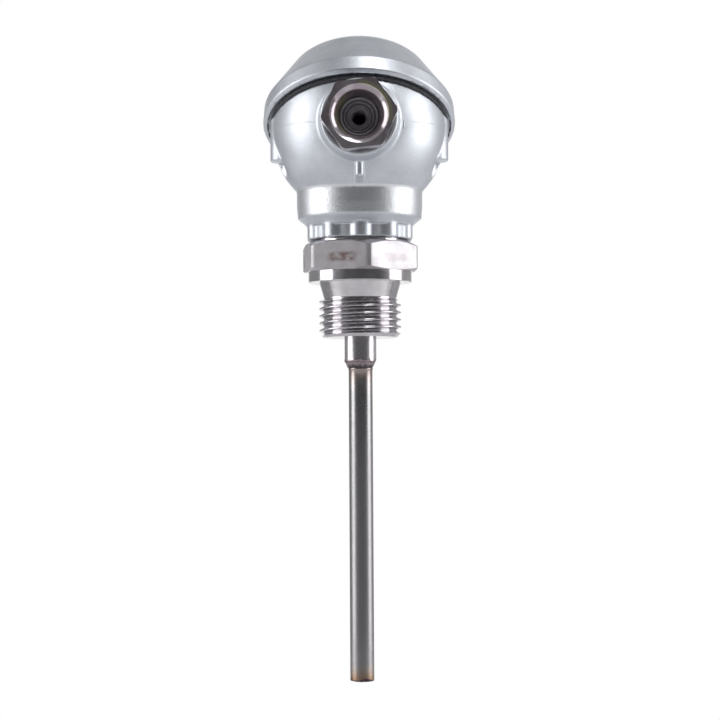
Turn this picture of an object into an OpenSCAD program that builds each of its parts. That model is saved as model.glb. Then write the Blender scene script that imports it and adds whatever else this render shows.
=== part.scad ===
// Screw-in resistance thermometer with an inclined-cap connection head.
// Origin: on the probe's axis, in the plane of the collar's sealing face. +Z runs up into the
// head and the cable gland points along -Y.

/* [Process fitting] */
// Nominal length from the sealing face to the probe's tip
insertion_len = 100; // [60:5:160]
// Width across the flats of the hexagon
hex_af = 27; // [26.5:0.1:27.5]
// Height of the hexagon
hex_h = 7.4; // [6.5:0.1:7.4]
// Radius of the sealing collar
collar_r = 13; // [12.5:0.1:13.4]
// Height of the sealing collar
collar_h = 2.6; // [2.2:0.1:2.6]
// Crest radius of the process thread
thread_r = 10.48; // [10.4:0.01:10.5]
// Length from the sealing face to the end of the process thread
thread_len = 13.8; // [12:0.1:16]

/* [Probe] */
// Outer radius of the sheath
sheath_r = 3; // [2.8:0.1:3]
// Wall of the sheath
sheath_wall = 0.5; // [0.4:0.1:0.6]
// Outer radius of the support tube
stub_r = 4; // [3.8:0.1:4]
// Wall of the support tube
stub_wall = 1; // [0.8:0.1:1]
// How far the support tube reaches below the fitting
stub_len = 5.7; // [4:0.1:10]

/* [Head] */
// Outer radius of the bowl
bowl_r = 22.2; // [21.8:0.1:22.4]
// Height of the bowl's centre
bowl_z = 38.6; // [38.2:0.1:39]
// Wall of the bowl
bowl_wall = 2.5; // [2.2:0.1:2.8]
// Radius of the neck band
neck_r = 15.8; // [15.4:0.05:16]
// Number of scallops on the skirt
scallops = 10; // [8:1:10]
// Height of the cable gland's axis
gland_z = 38.4; // [38:0.1:38.8]

/* [Lid] */
// Inclination of the lid's plane
tilt = 27; // [26:0.5:28]
// Height, on the probe's axis, of the lid's lower edge
lid_z = 39.1; // [38.8:0.1:39.4]
// Outer radius of the lid's edge
lid_r = 24.2; // [24:0.1:24.6]
// Height of the lid's straight edge band
lid_band = 4.65; // [4.3:0.05:5]
// Overall height of the lid
lid_h = 18.6; // [18:0.1:19.5]
// Wall of the lid
lid_wall = 2; // [1.8:0.1:2.2]

/* [Hidden] */
$fn = 96;
eps = 0.01;
turn_gap = 0.05;              // radial clearance of what turns or slides in a hole
big = 60;                     // longer than any cut needs

// Fitting
hex_z = collar_h;
hex_top = hex_z + hex_h;
hex_turn = -21.2;             // direction of one of the hexagon's corners
hex_corner_r = 15.3;          // the bar's corners are turned down to this
hex_low = [13.3, 0.65];       // radius and height of the chamfer under the hexagon
hex_high = [12.95, 1.25];     // and of the one on top
stem_r = 12;                  // upper thread into the head
stem_top = 19.5;
stem_bore_r = 8;
stem_bore_z = 9;
relief_r = 9.15;              // undercut above the process thread
relief_z = -3.9;

// Head
floor_z = 24.5;               // inner floor of the bowl
seat_z = 20.5;                // shoulder that stops the upper thread
floor_hole_r = 8.2;
skirt_z = 10.65;
chamfer_z = 14.45;
chamfer_top = 16.15;
seal_gap = 1.34;              // lid's edge to the bowl's rim, along the lid's axis
lug_x = 19.4;                 // lid screws, either side
lug_r = 2.9;
lug_z = 30.4;
lug_front = -4.4;             // the boss follows its inclined screw towards the front
lug_back = -0.6;

// Gland, measured outwards from the face of its boss
boss_y = 26.2;
boss_r = 9.5;
boss_edge = 0.8;
gland_thread_r = 8;
seal_seat = -11.2;
nut_back = 1.3;
nut_face = 6.3;
nut_af = 16.4;
nut_turn = 6.3;
nut_end = -5.2;
throat_r = 4.9;
mouth_r = 7.1;                // wide funnel in the nut's face
mouth_foot_r = 5.9;
mouth_depth = 1;
nut_corner_r = 9.35;
washer_h = 0.5;
spot_r = 8.67;

// Lid's inner form
seat_h = 1.0;                 // gasket seat above the lid's edge
skirt_in_r = 23.1;
hollow_r = 18;
flank_top = [17.59, 15.4];     // edge where the flank meets the crown
crown_r = 8;
pocket_r = 2.6;
pocket_h = 4.6;
screw_r = 1.25;

// Terminal block
base_top = 30.5;
base_r = 13.2;
base_flat = 11;
term_size = [6, 5.4, 5.5];
term_pos = [7, 3.9];
term_screw_r = 1.25;
wire_z = 32.6;
block_screw_y = 9.8;
earth_pos = [-13.7, 7.4];
earth_z = 30.6;

// Probe's inside
wire_r = 0.42;
wire_off = 0.9;
element_z = -97;
element_len = 19;
weld_z = -21.4;               // where the sheath meets the support tube's nose
plug_z = 11;                  // top of the support tube and of its resin

// ---------------------------------------------------------------- helpers

// Frame of the lid: origin on the axis at the lid's edge, +Z along the lid's own axis
module on_lid() {
    translate([0, 0, lid_z]) rotate([-tilt, 0, 0]) children();
}

// Frame of the gland: origin on the boss's face, +Z outwards, +Y up
module on_gland() {
    translate([0, -boss_y, gland_z]) rotate([90, 0, 0]) children();
}

module ring(r_out, r_in, h) {
    difference() {
        cylinder(r = r_out, h = h);
        translate([0, 0, -eps]) cylinder(r = r_in, h = h + 2 * eps);
    }
}

// Slotted cheese-head screw: the head's underside is at z = 0 and the shank points down
module slotted_screw(shank_r, shank_len, head_r, head_h) {
    difference() {
        union() {
            cylinder(r = head_r, h = head_h - 0.25);
            translate([0, 0, head_h - 0.25]) cylinder(r1 = head_r, r2 = head_r - 0.25, h = 0.25);
            translate([0, 0, 0.5 - shank_len]) cylinder(r = shank_r, h = shank_len);
            translate([0, 0, -shank_len]) cylinder(r1 = shank_r - 0.4, r2 = shank_r, h = 0.5);
        }
        translate([-head_r - 1, -0.35, head_h * 0.45]) cube([2 * head_r + 2, 0.7, head_h]);
    }
}

// A tube swept along points that all lie near vertical or horizontal lines
function unit(v) = v / norm(v);
function heading(p, i) = unit(p[min(i + 1, len(p) - 1)] - p[max(i - 1, 0)]);
function side_of(d) = unit(cross(d, [0.31, 0.95, 0.05]));
function ring_at(p, i, r, n) =
    let (d = heading(p, i), u = side_of(d), v = cross(d, u))
    [for (k = [0 : n - 1]) p[i] + r * (cos(360 * k / n) * u + sin(360 * k / n) * v)];

module swept_tube(p, r, n = 8) {
    last = len(p) - 1;
    pts = [for (i = [0 : last]) each ring_at(p, i, r, n)];
    sides = [for (i = [0 : last - 1], k = [0 : n - 1])
        [i * n + k, (i + 1) * n + k, (i + 1) * n + (k + 1) % n, i * n + (k + 1) % n]];
    polyhedron(pts, concat(sides, [[for (k = [0 : n - 1]) k]],
               [[for (k = [n - 1 : -1 : 0]) last * n + k]]));
}

// ---------------------------------------------------------------- head body

module below_rim() {
    on_lid() translate([-big, -big, -2 * big - seal_gap]) cube(2 * big);
}

module screw_lug() {
    for (side = [-1, 1]) for (y = [lug_front, lug_back])
        translate([side * lug_x, y, lug_z]) cylinder(r = lug_r, h = 20);
    for (side = [-1, 1])
        translate([side * lug_x - lug_r, lug_front, lug_z])
            cube([2 * lug_r, lug_back - lug_front, 20]);
}

module scallop_section() {
    lobe = 1.1;
    corner = 2;
    difference() {
        union() {
            circle(r = 12.55);
            for (i = [0 : scallops - 1]) rotate(-88.15 + i * 360 / scallops) {
                for (s = [-1, 1]) translate([13.5 - corner, s * lobe]) circle(r = corner);
                translate([10, -lobe]) square([3.5, 2 * lobe]);
                translate([10, -lobe - corner]) square([1.5, 2 * (lobe + corner)]);
            }
        }
        circle(r = stem_r + 0.02);
    }
}

module skirt() {
    intersection() {
        translate([0, 0, skirt_z]) linear_extrude(chamfer_z - skirt_z + eps) scallop_section();
        rotate_extrude() polygon([[0, skirt_z], [12.9, skirt_z], [13.6, skirt_z + 0.6],
                                  [13.6, chamfer_z + 1], [0, chamfer_z + 1]]);
    }
}

module neck() {
    rotate_extrude() polygon([[0, chamfer_z], [13.5, chamfer_z], [15.55, chamfer_top],
                              [neck_r, chamfer_top + 3], [neck_r, floor_z], [0, floor_z]]);
}

module gland_boss() {
    on_gland() {
        translate([0, 0, -14]) cylinder(r1 = boss_r + 0.9, r2 = boss_r, h = 14 - boss_edge);
        rotate_extrude() {
            translate([boss_r - boss_edge, -boss_edge]) circle(r = boss_edge, $fn = 48);
            translate([0, -boss_edge]) square([boss_r - boss_edge, boss_edge]);
        }
    }
}

module rib() {
    difference() {
        union() {
            translate([0, -19.4, 22]) cylinder(r = 1, h = 8);
            translate([-1, -19.4, 22]) cube([2, 5, 8]);
        }
        translate([-2, -20.4, 25]) rotate([-20, 0, 0]) translate([0, -3, -6]) cube([4, 14, 6]);
    }
}

module cavity() {
    difference() {
        intersection() {
            translate([0, 0, bowl_z]) sphere(r = bowl_r - bowl_wall);
            translate([-big, -big, floor_z]) cube(2 * big);
        }
        on_gland() translate([0, 0, -12.7]) cylinder(r = 9.6, h = 8);
        screw_lug();
        translate([earth_pos.x, earth_pos.y, floor_z - 1]) cylinder(r = 2.6, h = earth_z - floor_z + 1);
    }
}

module head_body() color("silver") {
    difference() {
        intersection() {
            union() {
                intersection() {
                    translate([0, 0, bowl_z]) sphere(r = bowl_r, $fn = 128);
                    translate([-big, -big, seat_z]) cube(2 * big);
                }
                neck();
                skirt();
                gland_boss();
                screw_lug();
                rib();
            }
            below_rim();
        }
        cavity();
        translate([0, 0, skirt_z - 1]) cylinder(r = stem_r + 0.02, h = seat_z - skirt_z + 1);
        translate([0, 0, seat_z - 1]) cylinder(r = floor_hole_r, h = 6);
        on_gland() {
            translate([0, 0, seal_seat]) cylinder(r = gland_thread_r, h = 20);
            translate([0, 0, -0.8]) cylinder(r = spot_r, h = 2);
            translate([0, 0, -16]) cylinder(r = 5.5, h = 10);
        }
        on_lid() for (side = [-1, 1]) translate([side * lug_x, 0, -16])
            cylinder(r = screw_r + turn_gap, h = 17);
        for (y = [-1, 1]) translate([0, y * block_screw_y, floor_z - 3.2])
            cylinder(r = 1.5, h = 4);
        translate([earth_pos.x, earth_pos.y, earth_z - 4.5])
            cylinder(r = term_screw_r + turn_gap, h = 6);
    }
}

// ---------------------------------------------------------------- lid

// Unit vector up the flank and the point where the crown's arc is centred
flank_foot = [lid_r - 0.2, lid_band];
flank_dir = unit(flank_top - flank_foot);
flank_in = [-flank_dir.y, flank_dir.x];
crown_z = lid_h - crown_r;
crown_c = [flank_top.x - sqrt(pow(crown_r, 2) - pow(flank_top.y - crown_z, 2)), crown_z];

// Outline under the crown, set in from the outside by w
module crown_section(w, foot) {
    start = flank_foot + w * flank_in;
    intersection() {
        union() {
            translate(crown_c) circle(r = crown_r - w, $fn = 128);
            polygon(concat(foot, [crown_c - (crown_r - w) * flank_in, crown_c,
                                  crown_c + [0, crown_r - w], [0, lid_h - w]]));
        }
        polygon([start - big * flank_dir, start + big * flank_dir,
                 start + big * (flank_dir + flank_in), start + big * (flank_in - flank_dir)]);
    }
}

module lid() color("silver") on_lid() {
    inner_foot = flank_foot + lid_wall * flank_in;
    hollow_top = inner_foot.y + (inner_foot.x - hollow_r) * flank_dir.y / -flank_dir.x;
    difference() {
        rotate_extrude($fn = 128) intersection() {
            crown_section(0, [[0, 0], [lid_r - 0.3, 0], [lid_r, 0.3], flank_foot]);
            square([big, big]);
        }
        difference() {
            rotate_extrude($fn = 128) intersection() {
                crown_section(lid_wall, [[0, -1], [hollow_r, -1], [hollow_r, hollow_top]]);
                translate([0, -1]) square([big, big]);
            }
            for (side = [-1, 1]) translate([side * lug_x, 0, -2]) cylinder(r = 3.9, h = 22);
        }
        translate([0, 0, -1]) cylinder(r = skirt_in_r, h = 1 + seat_h);
        for (side = [-1, 1]) translate([side * lug_x, 0, 0]) {
            cylinder(r = screw_r + 0.2, h = 10);
            translate([0, 0, pocket_h]) cylinder(r = pocket_r, h = 20);
        }
    }
}

module lid_gasket() color("black") on_lid() translate([0, 0, -seal_gap])
    linear_extrude(seal_gap + seat_h) difference() {
        circle(r = 22.6);
        difference() {
            circle(r = 18.6);
            for (side = [-1, 1]) translate([side * lug_x, 0]) circle(r = 3.2);
        }
        for (side = [-1, 1]) translate([side * lug_x, 0]) circle(r = screw_r + 0.2);
    }

module lid_screw(side) color("gainsboro") on_lid()
    translate([side * lug_x, 0, pocket_h + turn_gap]) rotate(35)
        slotted_screw(screw_r, 11.5, 2.25, 1.7);

module lid_screw_left() lid_screw(-1);
module lid_screw_right() lid_screw(1);

// ---------------------------------------------------------------- cable gland

module gland_nut() color("darkkhaki") on_gland() difference() {
    union() {
        intersection() {
            translate([0, 0, nut_back]) rotate(nut_turn)
                cylinder(r = nut_af / 2 / cos(30), h = nut_face - nut_back, $fn = 6);
            rotate_extrude() polygon([[0, nut_back], [8.9, nut_back], [nut_corner_r, nut_back + 0.4],
                                      [nut_corner_r, nut_face - 0.2], [9, nut_face], [0, nut_face]]);
        }
        translate([0, 0, nut_end]) cylinder(r = gland_thread_r - turn_gap, h = nut_back - nut_end + eps);
    }
    rotate_extrude() polygon([
        [0, nut_end - 1], [throat_r, nut_end - 1], [throat_r, 1.2], [mouth_foot_r, nut_face - mouth_depth],
        [mouth_r, nut_face], [mouth_r, nut_face + 1], [0, nut_face + 1]]);
}

module gland_washer() color("lightgray") on_gland()
    translate([0, 0, nut_end - washer_h]) ring(gland_thread_r - turn_gap, throat_r, washer_h);

module gland_seal() color("dimgray") on_gland() {
    top = nut_end - washer_h;
    rotate_extrude() polygon([[1.7, seal_seat], [7.9, seal_seat], [7.9, top], [4.75, top],
                              [4.75, 0.3], [4.5, 0.6], [3.9, 0.5], [3.55, 0], [3.44, -2],
                              [3.2, -2.2], [1.9, -2.2], [1.7, -2.5]]);
}

// ---------------------------------------------------------------- fitting and probe

module process_fitting() color("lightsteelblue") {
    hex_r = hex_af / 2 / cos(30);
    difference() {
        union() {
            rotate_extrude() polygon([
                [0, -thread_len], [9.3, -thread_len], [thread_r, 1.1 - thread_len],
                [thread_r, relief_z - 0.9], [relief_r, relief_z - 0.2], [relief_r, relief_z],
                [10.25, 0], [collar_r - 0.15, 0], [collar_r, 0.15], [collar_r, collar_h],
                [0, collar_h]]);
            intersection() {
                translate([0, 0, hex_z]) rotate(hex_turn) cylinder(r = hex_r, h = hex_h, $fn = 6);
                rotate_extrude() polygon([
                    [0, hex_z], [hex_low[0], hex_z], [hex_corner_r, hex_z + hex_low[1]],
                    [hex_corner_r, hex_top - hex_high[1]], [hex_high[0], hex_top], [0, hex_top]]);
            }
            rotate_extrude() polygon([
                [0, hex_top - 1], [11.4, hex_top - 1], [11.4, hex_top + 1.1], [stem_r, hex_top + 1.7],
                [stem_r, stem_top - 0.6], [stem_r - 0.6, stem_top], [0, stem_top]]);
        }
        translate([0, 0, -big]) cylinder(r = stub_r + 0.02, h = 2 * big);
        translate([0, 0, stem_bore_z]) cylinder(r = stem_bore_r, h = big);
    }
}

module neck_seal() color("firebrick") translate([0, 0, stem_top])
    ring(stem_r - 0.1, floor_hole_r + 0.4, seat_z - stem_top);

// The tube's nose is drawn in to the sheath's bore, and the weld bead covers the joint
module support_tube() color("lightsteelblue") {
    low = -thread_len - stub_len;
    bore = stub_r - stub_wall;
    rotate_extrude() polygon([[sheath_r - sheath_wall, weld_z], [sheath_r, weld_z],
                              [sheath_r + 0.2, weld_z + 0.15], [sheath_r + 0.55, weld_z + 0.8],
                              [stub_r - 0.1, low - 0.3], [stub_r, low], [stub_r, plug_z],
                              [bore, plug_z], [bore, low], [sheath_r - sheath_wall, low - 0.5]]);
}

module sheath_tube() color("lightsteelblue")
    translate([0, 0, 1.2 - insertion_len])
        ring(sheath_r, sheath_r - sheath_wall, weld_z + insertion_len - 1.2);

// The weld closes the tube with a slightly domed end
module tip_plug() color("peru") {
    inner = sheath_r - sheath_wall;
    rotate_extrude() polygon([[0, -insertion_len], [2.1, 0.08 - insertion_len],
                              [2.7, 0.35 - insertion_len], [sheath_r, 0.9 - insertion_len],
                              [sheath_r, 1.2 - insertion_len], [inner, 1.2 - insertion_len],
                              [inner, 2.2 - insertion_len], [0, 2.2 - insertion_len]]);
}

module sensor_element() color("white")
    translate([0, 0, element_z]) cylinder(r = 1.4, h = element_len);

module wire_bores(h) {
    for (x = [-1, 1], y = [-1, 1]) translate([x * wire_off, y * wire_off, -1])
        cylinder(r = wire_r + 0.06, h = h + 2);
}

module insulator_rod() color("ivory") {
    low = element_z + element_len + 0.5;
    translate([0, 0, low]) difference() {
        cylinder(r = 2.4, h = 6 - low);
        wire_bores(6 - low);
    }
}

module potting_plug() color("saddlebrown") translate([0, 0, 6]) difference() {
    cylinder(r = stub_r - stub_wall, h = plug_z - 6);
    wire_bores(plug_z - 6);
}

// Each lead runs straight up the probe, then fans out to its terminal
module lead_wire(sx, sy) {
    o = wire_off;
    run = [[o, o, element_z + element_len], [o, o, -40], [o, o, 0], [o, o, plug_z + 1],
           [1.1, 1.1, 17], [1.5, 1.5, 23], [1.9, 1.9, 28], [2.2, 2.4, 30.6], [2.6, 3.1, 32],
           [3.3, 3.7, 32.6], [4.4, 3.9, wire_z], [6.2, 3.9, wire_z]];
    swept_tube([for (p = run) [p.x * sx, p.y * sy, p.z]], wire_r);
}

module lead_wire_1() color("red") lead_wire(-1, -1);
module lead_wire_2() color("red") lead_wire(1, -1);
module lead_wire_3() color("white") lead_wire(-1, 1);
module lead_wire_4() color("white") lead_wire(1, 1);

// ---------------------------------------------------------------- terminal block

module terminal_base() color("ivory") difference() {
    union() {
        intersection() {
            translate([0, 0, floor_z]) cylinder(r = base_r, h = base_top - floor_z);
            translate([-base_flat, -big, 0]) cube([2 * base_flat, 2 * big, big]);
        }
        for (x = [-base_flat, 3.6]) translate([x, -0.7, base_top - eps])
            cube([base_flat - 3.6, 1.4, 3.5]);
    }
    translate([0, 0, floor_z - 1]) cylinder(r = 3.8, h = 10);
    for (y = [-1, 1]) translate([0, y * block_screw_y, 0]) {
        translate([0, 0, floor_z - 1]) cylinder(r = 1.7, h = 10);
        translate([0, 0, base_top - 2.4]) cylinder(r = 2.9, h = 5);
    }
}

module terminal(sx, sy) color("goldenrod")
    translate([sx * term_pos.x, sy * term_pos.y, base_top]) difference() {
        translate([-term_size.x / 2, -term_size.y / 2, 0]) cube(term_size);
        translate([0, 0, 1]) cylinder(r = term_screw_r + turn_gap, h = 10);
        translate([-5, 0, wire_z - base_top]) rotate([0, 90, 0]) cylinder(r = 1.1, h = 10, $fn = 32);
    }

module terminal_screw(sx, sy) color("gainsboro")
    translate([sx * term_pos.x, sy * term_pos.y, base_top + term_size.z + turn_gap])
        rotate(25 * sx + 10 * sy) slotted_screw(term_screw_r, 2.6, 2.4, 1.8);

module terminal_1() terminal(-1, -1);
module terminal_2() terminal(1, -1);
module terminal_3() terminal(-1, 1);
module terminal_4() terminal(1, 1);
module terminal_screw_1() terminal_screw(-1, -1);
module terminal_screw_2() terminal_screw(1, -1);
module terminal_screw_3() terminal_screw(-1, 1);
module terminal_screw_4() terminal_screw(1, 1);

module block_screw(y) color("gainsboro") translate([0, y * block_screw_y, base_top - 2.4])
    rotate(50) slotted_screw(1.48, base_top - 2.4 - floor_z + 3, 2.7, 1.8);

module block_screw_front() block_screw(-1);
module block_screw_rear() block_screw(1);

module earth_washer() color("gainsboro") translate([earth_pos.x, earth_pos.y, earth_z])
    ring(2.3, term_screw_r + 2 * turn_gap, 0.5);

module earth_screw() color("gainsboro") translate([earth_pos.x, earth_pos.y, earth_z + 0.5 + turn_gap])
    slotted_screw(term_screw_r, 4.5, 2.2, 1.6);

// ---------------------------------------------------------------- nodes

head_body();
lid();
lid_gasket();
lid_screw_left();
lid_screw_right();
gland_nut();
gland_washer();
gland_seal();
process_fitting();
neck_seal();
support_tube();
sheath_tube();
tip_plug();
sensor_element();
insulator_rod();
potting_plug();
lead_wire_1();
lead_wire_2();
lead_wire_3();
lead_wire_4();
terminal_base();
terminal_1();
terminal_2();
terminal_3();
terminal_4();
terminal_screw_1();
terminal_screw_2();
terminal_screw_3();
terminal_screw_4();
block_screw_front();
block_screw_rear();
earth_screw();
earth_washer();
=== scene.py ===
"""Looks of a screw-in resistance thermometer with an inclined-lid connection head.

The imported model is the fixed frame. The castings are grown from signed distance fields, so that
bosses, lugs and ribs run into the bowl with fillets; the turned pieces are revolved outlines with
their hexagons and threads cut in; small inner pieces keep their own solids. All the sizes in the
classes below are millimetres in the frame's axes: +Z up the probe, -Y out of the cable gland.
"""

import logging
import math
from collections.abc import Callable, Sequence
from dataclasses import dataclass, field
from enum import Enum

import bpy
import numpy as np
from mathutils import Euler, Matrix, Vector


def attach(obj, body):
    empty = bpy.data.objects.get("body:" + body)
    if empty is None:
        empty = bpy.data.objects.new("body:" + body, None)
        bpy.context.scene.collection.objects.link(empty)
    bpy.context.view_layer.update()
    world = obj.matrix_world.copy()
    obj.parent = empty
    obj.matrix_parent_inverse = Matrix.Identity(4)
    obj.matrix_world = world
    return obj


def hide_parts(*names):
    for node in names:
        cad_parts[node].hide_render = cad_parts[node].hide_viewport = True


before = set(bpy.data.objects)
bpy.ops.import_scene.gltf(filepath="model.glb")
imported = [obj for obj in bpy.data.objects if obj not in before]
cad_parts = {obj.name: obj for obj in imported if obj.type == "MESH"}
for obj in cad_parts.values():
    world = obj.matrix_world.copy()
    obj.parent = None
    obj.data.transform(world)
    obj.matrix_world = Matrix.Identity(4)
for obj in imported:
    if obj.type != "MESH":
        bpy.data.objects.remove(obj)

LOG = logging.getLogger("probe")
MM = 0.001
TAU = 2 * math.pi
Colour = tuple[float, float, float]
Outline = Sequence[tuple[float, float]]
DistanceField = Callable[[np.ndarray], np.ndarray]
RadiusLimit = Callable[[np.ndarray, np.ndarray], np.ndarray]
Sockets = dict[str | int, object]
RAY_KINDS = ("Camera", "Glossy", "Transmission")
# Numbers of a Mix node's colour sockets.
MIX_FIRST, MIX_SECOND, MIX_RESULT = 6, 7, 2
# A radius past every outline, which cuts nothing.
UNCUT = 99.0
# Length without ridges at a thread's end, and how exactly heights are compared.
PLAIN_END = 0.05
SLIVER = 0.001
# The castings' crease angle, the margin of their grids and how often their points settle.
CAST_CREASE = 60.0
GRID_MARGIN = 0.8
SETTLE_ROUNDS = 3


# ---------------------------------------------------------------- shader expressions


class Signal:
    """A shader socket that is worked out with Python's own operators."""

    def __init__(self, graph: "Graph", socket: bpy.types.NodeSocket | None) -> None:
        """Wraps an output socket of a graph; the last node of a tree has none."""
        self.graph = graph
        self.socket = socket

    def _math(self, operation: str, *values: "Signal | float", clamp: bool = False) -> "Signal":
        """Adds one Math node."""
        settings = {"operation": operation, "use_clamp": clamp}
        return self.graph.node("ShaderNodeMath", settings, dict(enumerate(values)))

    def __add__(self, other: "Signal | float") -> "Signal":
        """Sum."""
        return self._math("ADD", self, other)

    __radd__ = __add__

    def __sub__(self, other: "Signal | float") -> "Signal":
        """Difference."""
        return self._math("SUBTRACT", self, other)

    def __rsub__(self, other: float) -> "Signal":
        """Reflected difference."""
        return self._math("SUBTRACT", other, self)

    def __mul__(self, other: "Signal | float") -> "Signal":
        """Product."""
        return self._math("MULTIPLY", self, other)

    __rmul__ = __mul__

    def __truediv__(self, other: "Signal | float") -> "Signal":
        """Quotient."""
        return self._math("DIVIDE", self, other)

    def __pow__(self, other: float) -> "Signal":
        """Power."""
        return self._math("POWER", self, other)

    def __abs__(self) -> "Signal":
        """Magnitude."""
        return self._math("ABSOLUTE", self)

    def angle_from(self, other: "Signal") -> "Signal":
        """Angle of the point (other, self) in radians."""
        return self._math("ARCTAN2", self, other)

    def clamped(self) -> "Signal":
        """The value held between 0 and 1."""
        return self._math("ADD", self, 0.0, clamp=True)

    def step(self, low: float, high: float) -> "Signal":
        """A smooth step from 0 at low to 1 at high; low may be the larger one.

        Args:
            low: where the step is 0; it may be the larger one.
            high: where it is 1.

        Returns:
            The stepped value.
        """
        settings = {"interpolation_type": "SMOOTHSTEP"}
        inputs = {"Value": self, "From Min": min(low, high), "From Max": max(low, high)}
        made = self.graph.node("ShaderNodeMapRange", settings, inputs)
        return made if low < high else 1 - made

    def band(self, middle: float, half: float, soft: float) -> "Signal":
        """1 within half of middle, falling to 0 over soft."""
        return abs(self - middle).step(half + soft, half)


class Graph:
    """A node tree that is written as expressions."""

    def __init__(self, tree: bpy.types.NodeTree) -> None:
        """Starts from an empty tree."""
        self.tree = tree
        tree.nodes.clear()

    def node(
        self,
        kind: str,
        settings: dict[str, object] | None = None,
        inputs: Sockets | None = None,
        output: str | int = 0,
    ) -> Signal:
        """Adds a node.

        Args:
            kind: the node's type.
            settings: its own settings; stops gives a ramp's positions and colours.
            inputs: the value of, or the link into, each named or numbered socket.
            output: the output socket to return.

        Returns:
            The output as a signal.
        """
        made = self.tree.nodes.new(kind)
        for name, value in (settings or {}).items():
            if name == "stops":
                self._set_stops(made.color_ramp, value)
            else:
                setattr(made, name, value)
        for key, value in (inputs or {}).items():
            socket = made.inputs[key]
            if isinstance(value, Signal):
                self.tree.links.new(value.socket, socket)
            else:
                socket.default_value = value
        return Signal(self, made.outputs[output] if made.outputs else None)

    @staticmethod
    def _set_stops(ramp: bpy.types.ColorRamp, stops: Sequence[tuple[float, Colour]]) -> None:
        """Gives a ramp its positions and colours.

        Args:
            ramp: the ramp.
            stops: position and colour of each stop, in order.
        """
        while len(ramp.elements) < len(stops):
            ramp.elements.new(0.5)
        for element, (position, colour) in zip(ramp.elements, stops, strict=True):
            element.position = position
            element.color = (*colour, 1.0)

    def place(self) -> Signal:
        """The piece's own coordinates."""
        return self.node("ShaderNodeTexCoord", output="Object")

    def axes(self, place: Signal) -> tuple[Signal, Signal, Signal]:
        """The three coordinates of a place, in millimetres.

        Args:
            place: the coordinates to split.

        Returns:
            X, Y and Z.
        """
        split = self.node("ShaderNodeSeparateXYZ", None, {0: place})
        outputs = split.socket.node.outputs
        return tuple(Signal(self, outputs[i]) * (1 / MM) for i in range(3))

    def noise(
        self,
        place: Signal,
        size_mm: float,
        detail: float = 2.0,
        stretch: tuple[float, float, float] = (1.0, 1.0, 1.0),
        roughness: float = 0.5,
    ) -> Signal:
        """Cloudy noise.

        Args:
            place: where the noise is read.
            size_mm: about how large its grains are.
            detail: how many octaves it has.
            stretch: how much longer than size_mm a grain is along each axis.
            roughness: how strong its finer octaves are.

        Returns:
            A value from 0 to 1, about 0.5 on average.
        """
        scale = tuple(1 / (MM * size_mm * s) for s in stretch)
        scaled = self.node("ShaderNodeVectorMath", {"operation": "MULTIPLY"}, {0: place, 1: scale})
        inputs = {"Vector": scaled, "Scale": 1.0, "Detail": detail, "Roughness": roughness}
        return self.node("ShaderNodeTexNoise", {"normalize": True}, inputs, "Fac")

    def cells(self, place: Signal, size_mm: float) -> Signal:
        """Distance to the nearest of many scattered points, in cell widths."""
        inputs = {"Vector": place, "Scale": 1 / (MM * size_mm)}
        return self.node("ShaderNodeTexVoronoi", {"feature": "F1"}, inputs, "Distance")

    def blend(self, share: Signal | float, low: object, high: object) -> Signal:
        """Mixes two colours by a share.

        Args:
            share: how much of the second colour there is, held between 0 and 1.
            low: the first colour, or a link into it.
            high: the second.

        Returns:
            The mixed colour.
        """
        settings = {"data_type": "RGBA", "clamp_factor": True}
        made = self.node("ShaderNodeMix", settings, {"Factor": share})
        for key, value in ((MIX_FIRST, low), (MIX_SECOND, high)):
            socket = made.socket.node.inputs[key]
            if isinstance(value, Signal):
                self.tree.links.new(value.socket, socket)
            else:
                socket.default_value = (*value, 1.0)
        return Signal(self, made.socket.node.outputs[MIX_RESULT])

    def ramp(self, value: Signal, stops: Sequence[tuple[float, Colour]]) -> Signal:
        """A colour ramp over a value from 0 to 1."""
        return self.node("ShaderNodeValToRGB", {"stops": stops}, {0: value}, "Color")

    def relief(self, height_mm: Signal) -> Signal:
        """Turns a height in millimetres into a normal."""
        inputs = {"Height": height_mm * MM, "Distance": 1.0, "Strength": 1.0}
        return self.node("ShaderNodeBump", None, inputs, "Normal")


# ---------------------------------------------------------------- finishes


class Finish:
    """A surface finish, which makes its material once."""

    made: dict[str, bpy.types.Material] = {}

    def material(self) -> bpy.types.Material:
        """The finish's material.

        Returns:
            The material, the same one on every call.
        """
        name = self.name()
        if name not in Finish.made:
            material = bpy.data.materials.new(name)
            material.use_nodes = True
            graph = Graph(material.node_tree)
            inputs = self.sockets(graph)
            shader = graph.node("ShaderNodeBsdfPrincipled", None, inputs)
            graph.node("ShaderNodeOutputMaterial", None, {"Surface": shader})
            Finish.made[name] = material
        return Finish.made[name]

    def name(self) -> str:
        """The material's name."""
        return type(self).__name__

    def sockets(self, graph: Graph) -> Sockets:
        """What the shader's sockets hold."""
        raise NotImplementedError


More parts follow.
